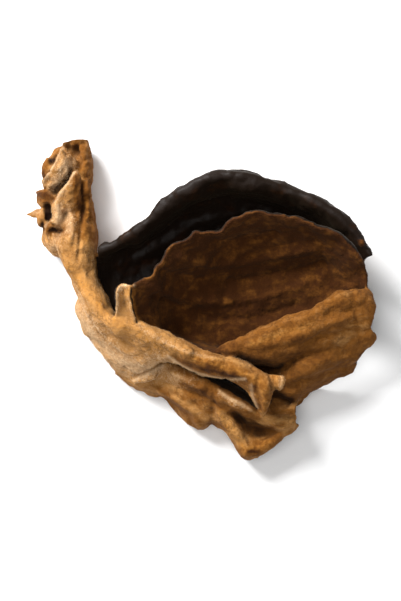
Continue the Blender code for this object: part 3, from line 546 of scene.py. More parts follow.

# Where the velvety side is lighter or, with a minus, darker than its lobe, in the same form.
# Some strokes are painted light, as noted where they stand.
TONE_MARKS = (
    # Darker right half of the hem: partly its darker tone, partly painted shade away from the light.
    (-0.52, 13.0, ((-1, -18), (6, -20), (15, -24), (19, -30))),
    (-0.4, 1.8, ((-10, -16), (-4, -18.5), (2, -20.6), (8, -21.8), (13, -23))),
    (-0.3, 2.4, ((2, -19), (6, -20.4))),
    (-0.25, 1.6, ((15.2, -25), (16.4, -29), (17.8, -32))),
    (0.45, 5.0, ((-17, -12), (-12, -13.5))),
    (0.3, 4.0, ((-44, 33), (-42, 39))),
    (0.35, 3.0, ((-23.5, 3), (-22.5, -3))),
    (-0.12, 7.0, ((-43, 17), (-38, 8), (-33, 0))),
    # Painted highlights on the hem's edges, ear outline and ledge lip; painted shade in the groove
    # above.
    (0.5, 0.8, ((-9.9, -16.3), (-6.4, -19), (-1.6, -21.4), (2.6, -22.5), (7.8, -23.1), (12.4, -22.8))),
    (0.45, 0.9, ((-25.6, -3), (-25.4, 3.2), (-23.6, 4.9), (-21.4, 5), (-20.8, 1), (-19, -6.4))),
    (0.35, 1.0, ((-19, -6.4), (-11, -12), (-4, -15), (3, -16.5), (9, -17.3), (14, -18.8))),
    (0.5, 0.9, ((-21.1, -24.1), (-17.6, -22.4), (-12, -19.5))),
    (-0.6, 0.9, ((-19.8, -22.2), (-15.5, -20.1), (-12.4, -18.2))),
    (0.25, 2.2, ((17.5, -26), (18.6, -30))),
    # The near wall and its cup.
    # Painted highlight along the wall's rim at the slit.
    (0.45, 0.9, ((4.7, -26.4), (8, -28.8), (12.4, -31.2), (15.8, -33.4))),
    (0.3, 6.0, ((-18, -22.5), (-12, -23.5), (-7, -24))),
    (-0.3, 6.0, ((-7, -30), (-2, -29), (2, -30))),
    (-0.25, 3.0, ((-12, -29.5), (-7, -33), (-2, -36.5))),
    # Painted shade beside the cup's ridge, and a painted highlight along the ridge.
    (-0.5, 2.6, ((8.6, -33), (11.5, -36.2), (14.5, -38.6), (18, -39))),
    (0.3, 1.6, ((5.8, -33.4), (8.8, -37), (11.8, -41), (13.6, -44))),
    (-0.35, 6.0, ((13.5, -46), (18, -43), (22, -41))),
    (-0.4, 2.6, ((-6, -24.6), (-1, -26.6), (2.4, -28.2))),
    (0.4, 1.6, ((-13.4, -23.8), (-9.5, -25.3))),
    (-0.4, 1.7, ((3.4, -30.2), (6, -32.4))),
    (0.3, 1.3, ((-9, -28.6), (-4.5, -31), (-1, -33.8))),
    (-0.35, 1.3, ((-15.5, -25.4), (-10, -28.2))),
    (0.35, 2.6, ((19.5, -36.4), (24, -39.4))),
    (-0.35, 1.3, ((20.5, -38.2), (24.6, -37))),
    (-0.5, 1.6, ((14, -45.4), (17, -45.8))),
    (-0.4, 1.6, ((2.6, -36.8), (7, -38.2))),
    (0.3, 1.2, ((12.8, -39.6), (15.4, -43.6))),
    (0.3, 3.6, ((19.5, -35.2), (26, -36.2))),
    # The far right end of the bowl.
    (-1.0, 2.6, ((46.5, 18.7), (48.6, 17.4))),
    # The broad near lobe.
    (-0.12, 5.0, ((26, -18.5), (36, -16))),
    (0.3, 7.0, ((41, -12), (48, -8))),
    (0.2, 1.6, ((14, -12.8), (23, -9), (31, -7.2))),
    # The foot.
    (-0.3, 6.0, ((-36, 46), (-35, 36), (-34.5, 28), (-34, 20))),
    (0.25, 5.5, ((-42.5, 40), (-43, 35))),
    (0.35, 3.0, ((-43.6, 29), (-43.4, 24.5))),
    # Painted shadow under the brow.
    (-0.9, 3.2, ((-50, 32.6), (-47.5, 32.2), (-45.4, 31.6))),
    (-0.6, 3.0, ((-47.6, 42), (-48.4, 38.5))),
    (-0.5, 1.2, ((-37.8, 37.6), (-37.8, 33), (-37.2, 28))),
    (-0.5, 0.9, ((-36.2, 36), (-36, 30), (-36.4, 24))),
    (-0.45, 2.6, ((-48.6, 24), (-46, 21.8), (-42.6, 21.4))),
)

# Painted highlights along thin margins, in the same form.
EDGE_HIGHLIGHTS = (
    (1.0, 0.8, ((-10.4, -16.2), (-6.4, -18.9), (-1.6, -21.3), (2.6, -22.4), (7.8, -23.1),
                (12.4, -22.8))),
    (0.7, 0.7, ((14.4, -24.6), (14.8, -28), (16.4, -31.6))),
    (0.8, 0.7, ((-21.1, -24.1), (-17.6, -22.4), (-14.1, -20.6), (-12, -19.3))),
    (0.8, 0.9, ((-25.9, -3.2), (-25.5, 3.4), (-23.6, 5.2), (-20.4, 4.8))),
    (0.6, 0.8, ((5.2, -26.7), (8, -28.9), (11.9, -30.5), (14.5, -32.6))),
    (0.6, 0.7, ((-48.6, 35), (-46, 38.8), (-43.8, 42.3))),
    (0.6, 0.7, ((-44.2, 30.1), (-41.9, 33.5), (-39.8, 36.4), (-38, 39.4))),
)

MARKS = {"dark": SHADE_AND_STAIN_MARKS, "pale": PALE_MARKS, "ochre": OCHRE_MARKS, "edge": EDGE_HIGHLIGHTS}


class WoodEarSizes(bpy.types.PropertyGroup):
    """The sizes that set how the flesh dried."""

    flesh: FloatProperty(
        name="Flesh", description="How thick a lobe is away from its margin", default=1.8 * MM,
        unit="LENGTH",
    )
    margin: FloatProperty(
        name="Margin", description="How thick a lobe is at its margin", default=0.9 * MM, unit="LENGTH"
    )
    skin: FloatProperty(
        name="Skin", description="The spacing of the points on the fused skin", default=0.38 * MM,
        unit="LENGTH",
    )
    triangles: IntProperty(
        name="Triangles", description="How many triangles the flesh may have", default=190000
    )
    strands: IntProperty(
        name="Hairs", description="How many long hairs the velvety side keeps", default=11500
    )
    strand_length: FloatProperty(
        name="Hair length", description="How long a hair is, before it varies", default=0.72 * MM,
        unit="LENGTH",
    )
    strand_width: FloatProperty(
        name="Hair width", description="Half the width of a hair at its root", default=0.027 * MM,
        unit="LENGTH",
    )


class WoodEarColours(bpy.types.PropertyGroup):
    """The colours of the dried flesh, and of the shade painted into its folds."""

    tan: FloatVectorProperty(
        name="Tan", description="The velvety side where it dried palest", default=(0.365, 0.175, 0.05),
        subtype="COLOR", size=3,
    )
    tawny: FloatVectorProperty(
        name="Tawny", description="The velvety side where it dried darker", default=(0.17, 0.061, 0.008),
        subtype="COLOR", size=3,
    )
    umber: FloatVectorProperty(
        name="Umber", description="The velvety side where it dried darkest",
        default=(0.038, 0.0105, 0.0009), subtype="COLOR", size=3,
    )
    ochre: FloatVectorProperty(
        name="Ochre", description="Thin margins and worn crests", default=(0.41, 0.172, 0.027),
        subtype="COLOR", size=3,
    )
    hairs: FloatVectorProperty(
        name="Hairs", description="The pale velvet of short hairs", default=(0.66, 0.47, 0.28),
        subtype="COLOR", size=3,
    )
    # Painted shade: the colour laid over the flesh deep in its folds and under the dark marks.
    folds: FloatVectorProperty(
        name="Folds", description="The flesh deep in a fold", default=(0.010, 0.0028, 0.0006),
        subtype="COLOR", size=3,
    )
    face: FloatVectorProperty(
        name="Face", description="The smooth fertile side", default=(0.0075, 0.0034, 0.0016),
        subtype="COLOR", size=3,
    )


def clear_selection():
    bpy.ops.object.select_all(action="DESELECT")


def make_active(obj):
    clear_selection()
    obj.select_set(True)
    bpy.context.view_layer.objects.active = obj


def apply_modifier(obj, kind, **settings):
    """Adds a modifier with these settings and applies it."""
    make_active(obj)
    modifier = obj.modifiers.new(kind.lower(), kind)
    for name, value in settings.items():
        setattr(modifier, name, value)
    bpy.ops.object.modifier_apply(modifier=modifier.name)


def points_of(mesh):
    points = np.empty(len(mesh.vertices) * 3, np.float32)
    mesh.vertices.foreach_get("co", points)
    return points.reshape(-1, 3).astype(np.float64)


def normals_of(mesh):
    normals = np.empty(len(mesh.vertices) * 3, np.float32)
    mesh.vertex_normals.foreach_get("vector", normals)
    return normals.reshape(-1, 3).astype(np.float64)


def set_points(mesh, points):
    mesh.vertices.foreach_set("co", points.astype(np.float32).ravel())
    mesh.update()


def ripples(span):
    """Soft noise whose waves are about this long, in millimetres."""
    texture = bpy.data.textures.new("ripples", "CLOUDS")
    texture.noise_scale = span * MM
    texture.noise_depth = 1
    return texture


def smooth_through(lobe, targets):
    """Moves the cage until the smoothed surface passes through the targets, and smooths it."""
    smooth = lobe.modifiers.new("smooth", "SUBSURF")
    smooth.levels = smooth.render_levels = FIT_LEVELS
    for _ in range(FIT_ROUNDS):
        bpy.context.view_layer.update()
        smoothed = lobe.evaluated_get(bpy.context.evaluated_depsgraph_get())
        reached = points_of(smoothed.data)[: len(targets)]
        set_points(lobe.data, points_of(lobe.data) + targets - reached)
    smooth.levels = smooth.render_levels = LOBE_LEVELS
    make_active(lobe)
    bpy.ops.object.modifier_apply(modifier=smooth.name)


def grown_lobe(name, cage):
    """One lobe as a thin surface through its cage, with a UV map: U across its rows, V outwards."""
    clear_selection()
    bpy.ops.mesh.primitive_grid_add(
        x_subdivisions=len(cage[0]) - 1, y_subdivisions=len(cage) - 1, size=1.0
    )
    lobe = bpy.context.object
    lobe.name = name
    targets = np.array(list(chain.from_iterable(cage))) * MM
    set_points(lobe.data, targets)
    smooth_through(lobe, targets)
    for height, span in RIPPLES:
        apply_modifier(
            lobe, "DISPLACE", texture=ripples(span), texture_coords="GLOBAL", strength=height * MM
        )
    return lobe


def uv_of(mesh):
    """Each point's place in the UV map."""
    corners = np.empty(len(mesh.loops) * 2, np.float32)
    mesh.uv_layers.active.data.foreach_get("uv", corners)
    owners = np.empty(len(mesh.loops), np.int32)
    mesh.loops.foreach_get("vertex_index", owners)
    places = np.zeros((len(mesh.vertices), 2))
    places[owners] = corners.reshape(-1, 2)
    return places


def spans(cage):
    """How long the cage is across its rows and from its first row to its last, in millimetres."""
    rows = np.array(cage)
    across = np.linalg.norm(np.diff(rows, axis=1), axis=2).sum(axis=1).mean()
    along = np.linalg.norm(np.diff(rows, axis=0), axis=2).sum(axis=0).mean()
    return across, along


def nearness(places, half_width, route):
    """1 on the route, falling smoothly to 0 at its half width, for each place seen from above."""
    gaps = np.full(len(places), np.inf)
    stops = np.array(route, float)
    for start, end in zip(stops[:-1], stops[1:]):
        way = end - start
        share = np.clip((places - start) @ way / (way @ way), 0, 1)
        gaps = np.minimum(gaps, np.linalg.norm(places - start - share[:, None] * way, axis=1))
    return np.clip(1 - gaps / half_width, 0, None) ** SHARPNESS


def laid(places, marks):
    """How strongly each of these marks lies on each place."""
    return [strength * nearness(places, half_width, route) for strength, half_width, route in marks]


def ridges(place, fineness, lacunarity, octaves):
    """Ridged noise, lowered by its offset."""
    height = noise.ridged_multi_fractal(
        place, fineness, lacunarity, octaves, RIDGE_OFFSET, RIDGE_GAIN
    )
    return height - RIDGE_OFFSET


def wrinkle(lobe, cage, waves):
    """Dries the lobe: wrinkles that run outwards from the foot, a crumpled grain, and a wavy margin."""
    points, normals = points_of(lobe.data), normals_of(lobe.data)
    across, along = spans(cage)
    grain = uv_of(lobe.data) * (across, along)
    edge = np.minimum(
        np.minimum(grain[:, 0], across - grain[:, 0]), np.minimum(grain[:, 1], along - grain[:, 1])
    )
    lifts = np.zeros(len(points))
    for i, (u, v) in enumerate(grain):
        spot = Vector(points[i]) / MM
        streak = ridges((u / STREAK_SPANS[0], v / STREAK_SPANS[1], across), 0.9, 2.1, 3)
        crumple = ridges(spot / CRUMPLE_SPAN, 0.8, 2.1, 4)
        flutter = noise.fractal((u / FLUTTER_SPAN, v / FLUTTER_SPAN, along), 1.0, 2.0, 2)
        near_margin = max(0.0, 1 - edge[i] / MARGIN_WIDTH)
        lifts[i] = STREAK_HEIGHT * streak + CRUMPLE_HEIGHT * crumple + waves * flutter * near_margin
    for lift, half_width, route in FOLDS.get(lobe.name, ()):
        lifts += lift * nearness(points[:, :2] / MM, half_width, route)
    set_points(lobe.data, points - normals * lifts[:, None] * MM)
    thin = lobe.vertex_groups.new(name="flesh")
    for i, inset in enumerate(edge):
        thin.add([i], min(1.0, inset / MARGIN_WIDTH), "REPLACE")
    return thin.name


def stretched_balls(name, lumps):
    """The lumps as one object of stretched balls."""
    clear_selection()
    made = []
    for place, half_lengths, turn in lumps:
        bpy.ops.mesh.primitive_uv_sphere_add(
            segments=32, ring_count=20, radius=1.0, location=Vector(place) * MM,
            rotation=(0, 0, radians(turn)), scale=Vector(half_lengths) * MM,
        )
        made.append(bpy.context.object)
    for ball in made:
        ball.select_set(True)
    bpy.context.view_layer.objects.active = made[0]
    bpy.ops.object.join()
    bpy.ops.object.transform_apply(location=True, rotation=True, scale=True)
    made[0].name = name
    return made[0]


def keep_biggest_island(obj):
    make_active(obj)
    bpy.ops.object.mode_set(mode="EDIT")
    bpy.ops.mesh.select_all(action="SELECT")
    bpy.ops.mesh.separate(type="LOOSE")
    bpy.ops.object.mode_set(mode="OBJECT")
    islands = sorted(bpy.context.selected_objects, key=lambda island: len(island.data.vertices))
    for island in islands[:-1]:
        bpy.data.objects.remove(island, do_unlink=True)
    return islands[-1]


def cut_flat(obj, place, kept_side):
    """Cuts the flesh off flat at the plane through this place, which faces the side that is kept."""
    make_active(obj)
    bpy.ops.object.mode_set(mode="EDIT")
    bpy.ops.mesh.select_all(action="SELECT")
    bpy.ops.mesh.bisect(
        plane_co=Vector(place) * MM, plane_no=kept_side, use_fill=True, clear_inner=True,
        threshold=CUT_THRESHOLD,
    )
    bpy.ops.object.mode_set(mode="OBJECT")


def settle(obj):
    """Moves the flesh to where the frame's solid lies."""
    points = points_of(obj.data)
    low, high = (np.array(corner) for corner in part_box(NODE))
    shift = (low + high) / 2 - (points.min(axis=0) + points.max(axis=0)) / 2
    shift[2] = low[2] - points[:, 2].min()
    set_points(obj.data, points + shift)
    return shift


def seen_from_above(obj):
    """1 for each point with nothing over it, and 0 for the others."""
    tree = BVHTree.FromObject(obj, bpy.context.evaluated_depsgraph_get())
    lifted = points_of(obj.data) + normals_of(obj.data) * SKIN_GAP * MM
    up = Vector((0, 0, 1))
    return np.array([tree.ray_cast(Vector(point), up)[0] is None for point in lifted], float)


def crease(flesh):
    """Presses the creases into the flesh, raises its ridges, and crumples its foot."""
    points, normals = points_of(flesh.data), normals_of(flesh.data)
    above = seen_from_above(flesh)
    places = points[:, :2] / MM
    foot = np.clip((places[:, 1] - FOOT_START) / FOOT_BLEND, 0, 1) * (places[:, 0] < FOOT_SIDE)
    lifts = np.zeros(len(points))
    for i, point in enumerate(points / MM):
        lifts[i] = FINE_CRUMPLE * ridges(Vector(point) / FINE_SPAN, 0.9, 2.0, 2)
        if foot[i] > 0:
            lifts[i] += FOOT_CRUMPLE * foot[i] * ridges(Vector(point) / FOOT_GRAIN, 0.8, 2.1, 3)
    for lift, half_width, route in FOOT_CREASES:
        lifts += above * lift * nearness(places, half_width, route)
    set_points(flesh.data, points + normals * lifts[:, None] * MM)


def openness(obj):
    """How much of its surroundings each point sees: 1 in the open, near 0 deep in a fold."""
    tree = BVHTree.FromObject(obj, bpy.context.evaluated_depsgraph_get())
    turn = pi * (3 - sqrt(5))
    rays = []
    for i in range(SIGHT_RAYS):
        height = 1 - 2 * (i + 0.5) / SIGHT_RAYS
        ring = sqrt(1 - height * height)
        rays.append(Vector((ring * cos(turn * i), ring * sin(turn * i), height)))
    reach = SIGHT_REACH * MM
    points, normals = points_of(obj.data), normals_of(obj.data)
    facing = normals @ np.array(rays).T > SIGHT_SLANT
    seen = np.zeros(len(points))
    for i, point in enumerate(points):
        start = Vector(point + normals[i] * SKIN_GAP * MM)
        picked = np.nonzero(facing[i])[0]
        free = 0.0
        for k in picked:
            gap = tree.ray_cast(start, rays[k], reach)[3]
            free += 1.0 if gap is None else gap / reach
        seen[i] = free / len(picked)
    return seen


def spread(mesh, values, rounds):
    """Averages the values over neighbouring points this many times."""
    edges = np.empty(len(mesh.edges) * 2, np.int32)
    mesh.edges.foreach_get("vertices", edges)
    a, b = edges.reshape(-1, 2).T
    count = np.bincount(a, minlength=len(values)) + np.bincount(b, minlength=len(values)) + 1
    for _ in range(rounds):
        total = values + np.bincount(a, values[b], len(values)) + np.bincount(b, values[a], len(values))
        values = total / count
    return values


def keep_on_mesh(mesh, name, values):
    """Stores one number for each point."""
    mesh.attributes.new(name, "FLOAT", "POINT").data.foreach_set("value", values.astype(np.float32))


def in_foot(place):
    return place[0] < FOOT_SIDE and place[1] > FOOT_START


def mark_flesh(flesh, surfaces, shift):
    """Stores on each point what its finish depends on."""
    mesh = flesh.data
    points = points_of(mesh) - shift
    trees = []
    for (name, cage, tone, _waves), surface in zip(LOBES, surfaces):
        faces = [tuple(face.vertices) for face in surface.polygons]
        tree = BVHTree.FromPolygons([vert.co for vert in surface.vertices], faces)
        places = uv_of(surface)[[face[0] for face in faces]]
        trees.append((tree, places, *spans(cage), tone, name == "wall"))
    smooth_side, rim = np.zeros(len(points)), np.zeros(len(points))
    tones, grain = np.full(len(points), FOOT_TONE), np.zeros(len(points))
    for i, point in enumerate(points):
        spot = Vector(point)
        found = [tree.find_nearest(spot) for tree, *_rest in trees]
        k = min(range(len(found)), key=lambda pick: found[pick][3])
        place, normal, face, gap = found[k]
        _tree, places, across, along, tone, has_pocket = trees[k]
        u, v = places[face]
        grain_place = (u * across / GRAIN_SPANS[0], v * along / GRAIN_SPANS[1], GRAIN_APART * k)
        grain[i] = noise.fractal(grain_place, 0.7, 2.0, 3)
        if gap > FOOT_DEPTH * MM or in_foot(point[:2] / MM):
            continue
        tones[i] = tone
        pocket = has_pocket and u > POCKET[0] and v < POCKET[1]
        smooth_side[i] = pocket or (spot - place).dot(normal) > 0
        inset = min(u * across, (1 - u) * across, v * along, (1 - v) * along)
        rim[i] = max(0.0, 1 - inset / RIM_WIDTH)
    above = spread(mesh, seen_from_above(flesh), ROUNDS["above"])
    places = points[:, :2] / MM
    for name, marks in MARKS.items():
        keep_on_mesh(mesh, name, above * np.max(laid(places, marks), axis=0))
    shifts = sum(laid(places, TONE_MARKS))
    facing = Vector(FOOT_CUT_FACING).normalized()
    beyond = (points / MM - FOOT_CUT_PLACE) @ facing
    keep_on_mesh(mesh, "scar", np.clip(1 - beyond / SCAR_RIM, 0, 1))
    tones = spread(mesh, tones, ROUNDS["tone"]) + above * shifts
    keep_on_mesh(mesh, "tone", np.clip(tones, 0, TONE_TOP))
    # The openness sets where painted shade darkens the folds.
    others = {"smooth_side": smooth_side, "rim": rim, "grain": grain, "openness": openness(flesh)}
    for name, values in others.items():
        keep_on_mesh(mesh, name, spread(mesh, values, ROUNDS[name]))


class Shades:
    """A short way to wire a material's nodes."""

    def __init__(self, name):
        self.material = bpy.data.materials.new(name)
        self.material.use_nodes = True
        self.tree = self.material.node_tree
        self.shader = self.tree.nodes["Principled BSDF"]

    def put(self, socket, value):
        if isinstance(value, bpy.types.NodeSocket):
            self.tree.links.new(value, socket)
        else:
            socket.default_value = value

    def node(self, kind, settings=(), **inputs):
        made = self.tree.nodes.new(kind)
        for name, value in dict(settings).items():
            setattr(made, name, value)
        for name, value in inputs.items():
            self.put(made.inputs[name.replace("_", " ")], value)
        return made

    def attribute(self, name):
        return self.node("ShaderNodeAttribute", {"attribute_name": name})

    def math(self, operation, a, b=0.0, c=0.0):
        made = self.node("ShaderNodeMath", {"operation": operation})
        for socket, value in zip(made.inputs, (a, b, c)):
            self.put(socket, value)
        return made.outputs[0]

    def times(self, a, b):
        return self.math("MULTIPLY", a, b)

    def between(self, value, low, high):
        """0 up to low, 1 from high, and smooth in between."""
        made = self.node("ShaderNodeMapRange", {"interpolation_type": "SMOOTHSTEP"})
        for name, number in (("Value", value), ("From Min", low), ("From Max", high)):
            self.put(made.inputs[name], number)
        return made.outputs["Result"]

    def comes_in(self, value, part):
        """0 where this part of the finish starts to come in, and 1 where it is fully there."""
        return self.between(value, *COMES_IN[part])

    def noise(self, place, scale, detail, roughness):
        made = self.node(
            "ShaderNodeTexNoise", Vector=place, Scale=scale, Detail=detail, Roughness=roughness
        )
        return made.outputs["Fac"]

    def blend(self, share, a, b, way="MIX"):
        """Colour a, with b laid over it by this share."""
        made = self.node("ShaderNodeMix", {"data_type": "RGBA", "blend_type": way, "clamp_factor": True})
        for socket, value in zip((made.inputs[0], made.inputs[6], made.inputs[7]), (share, a, b)):
            self.put(socket, value)
        return made.outputs[2]

    def finish(self, inputs):
        """Sets the shader's inputs, and gives the material."""
        for name, value in inputs.items():
            self.put(self.shader.inputs[name], value)
        return self.material


def dried_flesh(colours):
    """Velvety tan skin, ochre margins, painted shade in its folds, and a smooth black face behind."""
    shades = Shades("dried_flesh")
    names = ("tan", "tawny", "umber", "ochre", "hairs", "folds", "face")
    tint = {name: (*getattr(colours, name), 1.0) for name in names}
    place = shades.node("ShaderNodeTexCoord").outputs["Object"]
    mark = {name: shades.attribute(name).outputs["Fac"]
            for name in ("rim", "tone", "grain", "openness", "smooth_side", "scar", *MARKS)}
    pattern = {name: shades.noise(place, *settings) for name, settings in PATTERNS.items()}
    pattern["streaks"] = shades.math("MULTIPLY_ADD", mark["grain"], *STREAKS)
    mottle, blotches = pattern["mottle"], pattern["blotches"]

    tone = mark["tone"]
    for name in ("blotches", "mottle", "streaks"):
        centred = shades.math("SUBTRACT", pattern[name], 0.5)
        tone = shades.math("MULTIPLY_ADD", centred, STRENGTH[name], tone)
    skin = shades.blend(shades.comes_in(tone, "tawny"), tint["umber"], tint["tawny"])
    skin = shades.blend(shades.comes_in(tone, "tan"), skin, tint["tan"])

    # Thin margins and worn crests.
    gold = shades.math("MAXIMUM", shades.times(mark["rim"], STRENGTH["rim"]), mark["ochre"])
    gold = shades.times(gold, shades.comes_in(mottle, "gold_mottle"))
    gold = shades.times(gold, shades.comes_in(tone, "gold_tone"))
    skin = shades.blend(shades.times(gold, STRENGTH["gold"]), skin, tint["ochre"])

    # The pale velvet.
    hairy = shades.times(
        shades.comes_in(pattern["velvet"], "hairy_velvet"), shades.comes_in(mottle, "hairy_mottle")
    )
    hairy = shades.times(hairy, shades.comes_in(tone, "hairy_tone"))
    amount = shades.math("MULTIPLY_ADD", mark["pale"], *HAIRY_SHARE)
    veil = shades.times(shades.comes_in(mark["pale"], "veil"), STRENGTH["veil"])
    hairy = shades.math("MAXIMUM", shades.times(hairy, amount), veil)
    skin = shades.blend(hairy, skin, tint["hairs"])

    # Fine cracks, where the noise or the grain crosses its middle.
    lines = shades.math("ABSOLUTE", shades.math("SUBTRACT", pattern["cracks"], 0.5))
    along_grain = shades.times(shades.math("ABSOLUTE", mark["grain"]), STRENGTH["crack_grain"])
    lines = shades.math("MINIMUM", lines, along_grain)
    cracks = shades.times(
        shades.comes_in(lines, "crack"), shades.comes_in(blotches, "cracked_blotch")
    )
    skin = shades.blend(shades.times(cracks, STRENGTH["cracks"]), skin, tint["umber"])

    # Dark marks (painted shade, and one real stain), the smooth side, and painted shade deep in a fold.
    # Painted shade: the dark marks take the folds colour where the skin lies in a fold.
    deep = shades.times(shades.comes_in(mark["dark"], "dark"), STRENGTH["dark"])
    deep = shades.times(deep, shades.comes_in(mark["openness"], "dark_fold"))
    skin = shades.blend(deep, skin, tint["folds"])
    worn = shades.times(shades.comes_in(blotches, "worn"), STRENGTH["worn"])
    face = shades.blend(worn, tint["face"], tint["umber"])
    skin = shades.blend(shades.comes_in(mark["smooth_side"], "face"), skin, face)
    # Painted shade: the less of its surroundings a point sees, the more it takes the folds colour.
    shadowed = shades.comes_in(mark["openness"], "shadow")
    skin = shades.blend(shades.times(shadowed, STRENGTH["shadow"]), skin, tint["folds"])

    # Painted highlights on the margins, and the flesh inside the cut.
    lit = shades.times(mark["edge"], shades.comes_in(mark["openness"], "lit_open"))
    lit = shades.times(lit, shades.comes_in(mark["smooth_side"], "lit_side"))
    skin = shades.blend(shades.times(lit, STRENGTH["lit"]), skin, tint["hairs"])
    inner = shades.blend(shades.comes_in(mottle, "inner"), tint["umber"], tint["tawny"])
    skin = shades.blend(mark["scar"], skin, inner)

    smoother = shades.times(mark["smooth_side"], STRENGTH["smoothness"])
    height = shades.math("MULTIPLY_ADD", mottle, BUMP_MOTTLE, pattern["velvet"])
    height = shades.math("MULTIPLY_ADD", pattern["streaks"], BUMP_STREAKS, height)
    height = shades.times(height, shades.math("MULTIPLY_ADD", mark["smooth_side"], *SMOOTH_BUMP))
    bump = shades.node("ShaderNodeBump", Height=height, Distance=BUMP_DEPTH * MM, Strength=1.0)
    return shades.finish({
        "Base Color": skin,
        "Roughness": shades.math("SUBTRACT", ROUGHNESS, smoother),
        "Normal": bump.outputs[0],
        **FLESH_SHINE,
    })


def fused_flesh(sizes):
    """The lobes and the foot as one closed skin, with each lobe's own thin surface for reference."""
    surfaces, solids = [], []
    for name, cage, _tone, waves in LOBES:
        lobe = grown_lobe(name, cage)
        group = wrinkle(lobe, cage, waves)
        surfaces.append(lobe.data.copy())
        apply_modifier(
            lobe, "SOLIDIFY", thickness=sizes.flesh, offset=0.0, vertex_group=group,
            thickness_vertex_group=sizes.margin / sizes.flesh,
        )
        solids.append(lobe)
    solids.append(stretched_balls("foot", LUMPS))
    clear_selection()
    for solid in solids:
        solid.select_set(True)
    flesh = solids[0]
    bpy.context.view_layer.objects.active = flesh
    bpy.ops.object.join()
    apply_modifier(flesh, "REMESH", mode="VOXEL", voxel_size=sizes.skin)
    apply_modifier(flesh, "SMOOTH", factor=0.5, iterations=2)
    return keep_biggest_island(flesh), surfaces


class WOODEAR_OT_flesh(bpy.types.Operator):
    """Grow the whole fruiting body: its lobes, their folds and margins, and the crumpled foot"""

    bl_idname = "woodear.flesh"
    bl_label = "Flesh"

    def execute(self, context):
        sizes = context.scene.wood_ear_sizes
        flesh, surfaces = fused_flesh(sizes)
        crease(flesh)
        apply_modifier(flesh, "REMESH", mode="VOXEL", voxel_size=sizes.skin)
        flesh = keep_biggest_island(flesh)
        faces = sum(len(face.vertices) - 2 for face in flesh.data.polygons)
        if faces > sizes.triangles:
            apply_modifier(
                flesh, "DECIMATE", ratio=sizes.triangles / faces, use_collapse_triangulate=True
            )
        cut_flat(flesh, REST_PLACE, (0, 0, 1))
        cut_flat(flesh, FOOT_CUT_PLACE, FOOT_CUT_FACING)
        flesh.name = flesh.data.name = "flesh"
        for group in list(flesh.vertex_groups):
            flesh.vertex_groups.remove(group)
        for layer in list(flesh.data.uv_layers):
            flesh.data.uv_layers.remove(layer)
        mark_flesh(flesh, surfaces, settle(flesh))
        flesh.data.materials.clear()
        flesh.data.materials.append(dried_flesh(context.scene.wood_ear_colours))
        flesh.data.shade_smooth()
        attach(flesh, "root")
        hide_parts(NODE)
        return {"FINISHED"}


def strand_roots(mesh, count, liking):
    """Where hairs grow, each with its way out, its way along the skin and the skin's lightness."""
    mesh.calc_loop_triangles()
    corners = np.empty(len(mesh.loop_triangles) * 3, np.int32)
    mesh.loop_triangles.foreach_get("vertices", corners)
    faces = corners.reshape(-1, 3)
    points, normals = points_of(mesh), normals_of(mesh)
    held = {"even": np.ones(len(points), np.float32)}
    for name in ("smooth_side", "pale", "tone", "openness", "rim"):
        held[name] = np.empty(len(points), np.float32)
        mesh.attributes[name].data.foreach_get("value", held[name])
    growth = sum(weight * held[name] for name, weight in liking.items())
    in_the_open = np.clip(held["openness"] * OPEN_GAIN - OPEN_LOSS, 0, 1)
    growth *= (held["smooth_side"] < BARE_SIDE) * in_the_open
    growth *= points[:, 2] > HAIR_FREE * MM
    sides = points[faces]
    areas = np.linalg.norm(np.cross(sides[:, 1] - sides[:, 0], sides[:, 2] - sides[:, 0]), axis=1)
    odds = areas * growth[faces].mean(axis=1)
    dice = np.random.RandomState(FUZZ_SEED)
    picked = dice.choice(len(faces), count, p=odds / odds.sum())
    shares = dice.dirichlet((1, 1, 1), count)[:, :, None]
    roots = (sides[picked] * shares).sum(axis=1)
    outward = (normals[faces[picked]] * shares).sum(axis=1)
    outward /= np.linalg.norm(outward, axis=1)[:, None]
    turns = dice.uniform(0, 2 * pi, count)
    swirl = SWIRL_HEIGHT * np.sin(turns * SWIRL_TURNS)
    along = np.stack((np.cos(turns), np.sin(turns), swirl), axis=1) + FUZZ_LIE
    along -= outward * (along * outward).sum(axis=1)[:, None]
    along /= np.linalg.norm(along, axis=1)[:, None]
    light = (held["tone"][faces[picked]] * shares[:, :, 0]).sum(axis=1)
    return roots, outward, along, light, dice


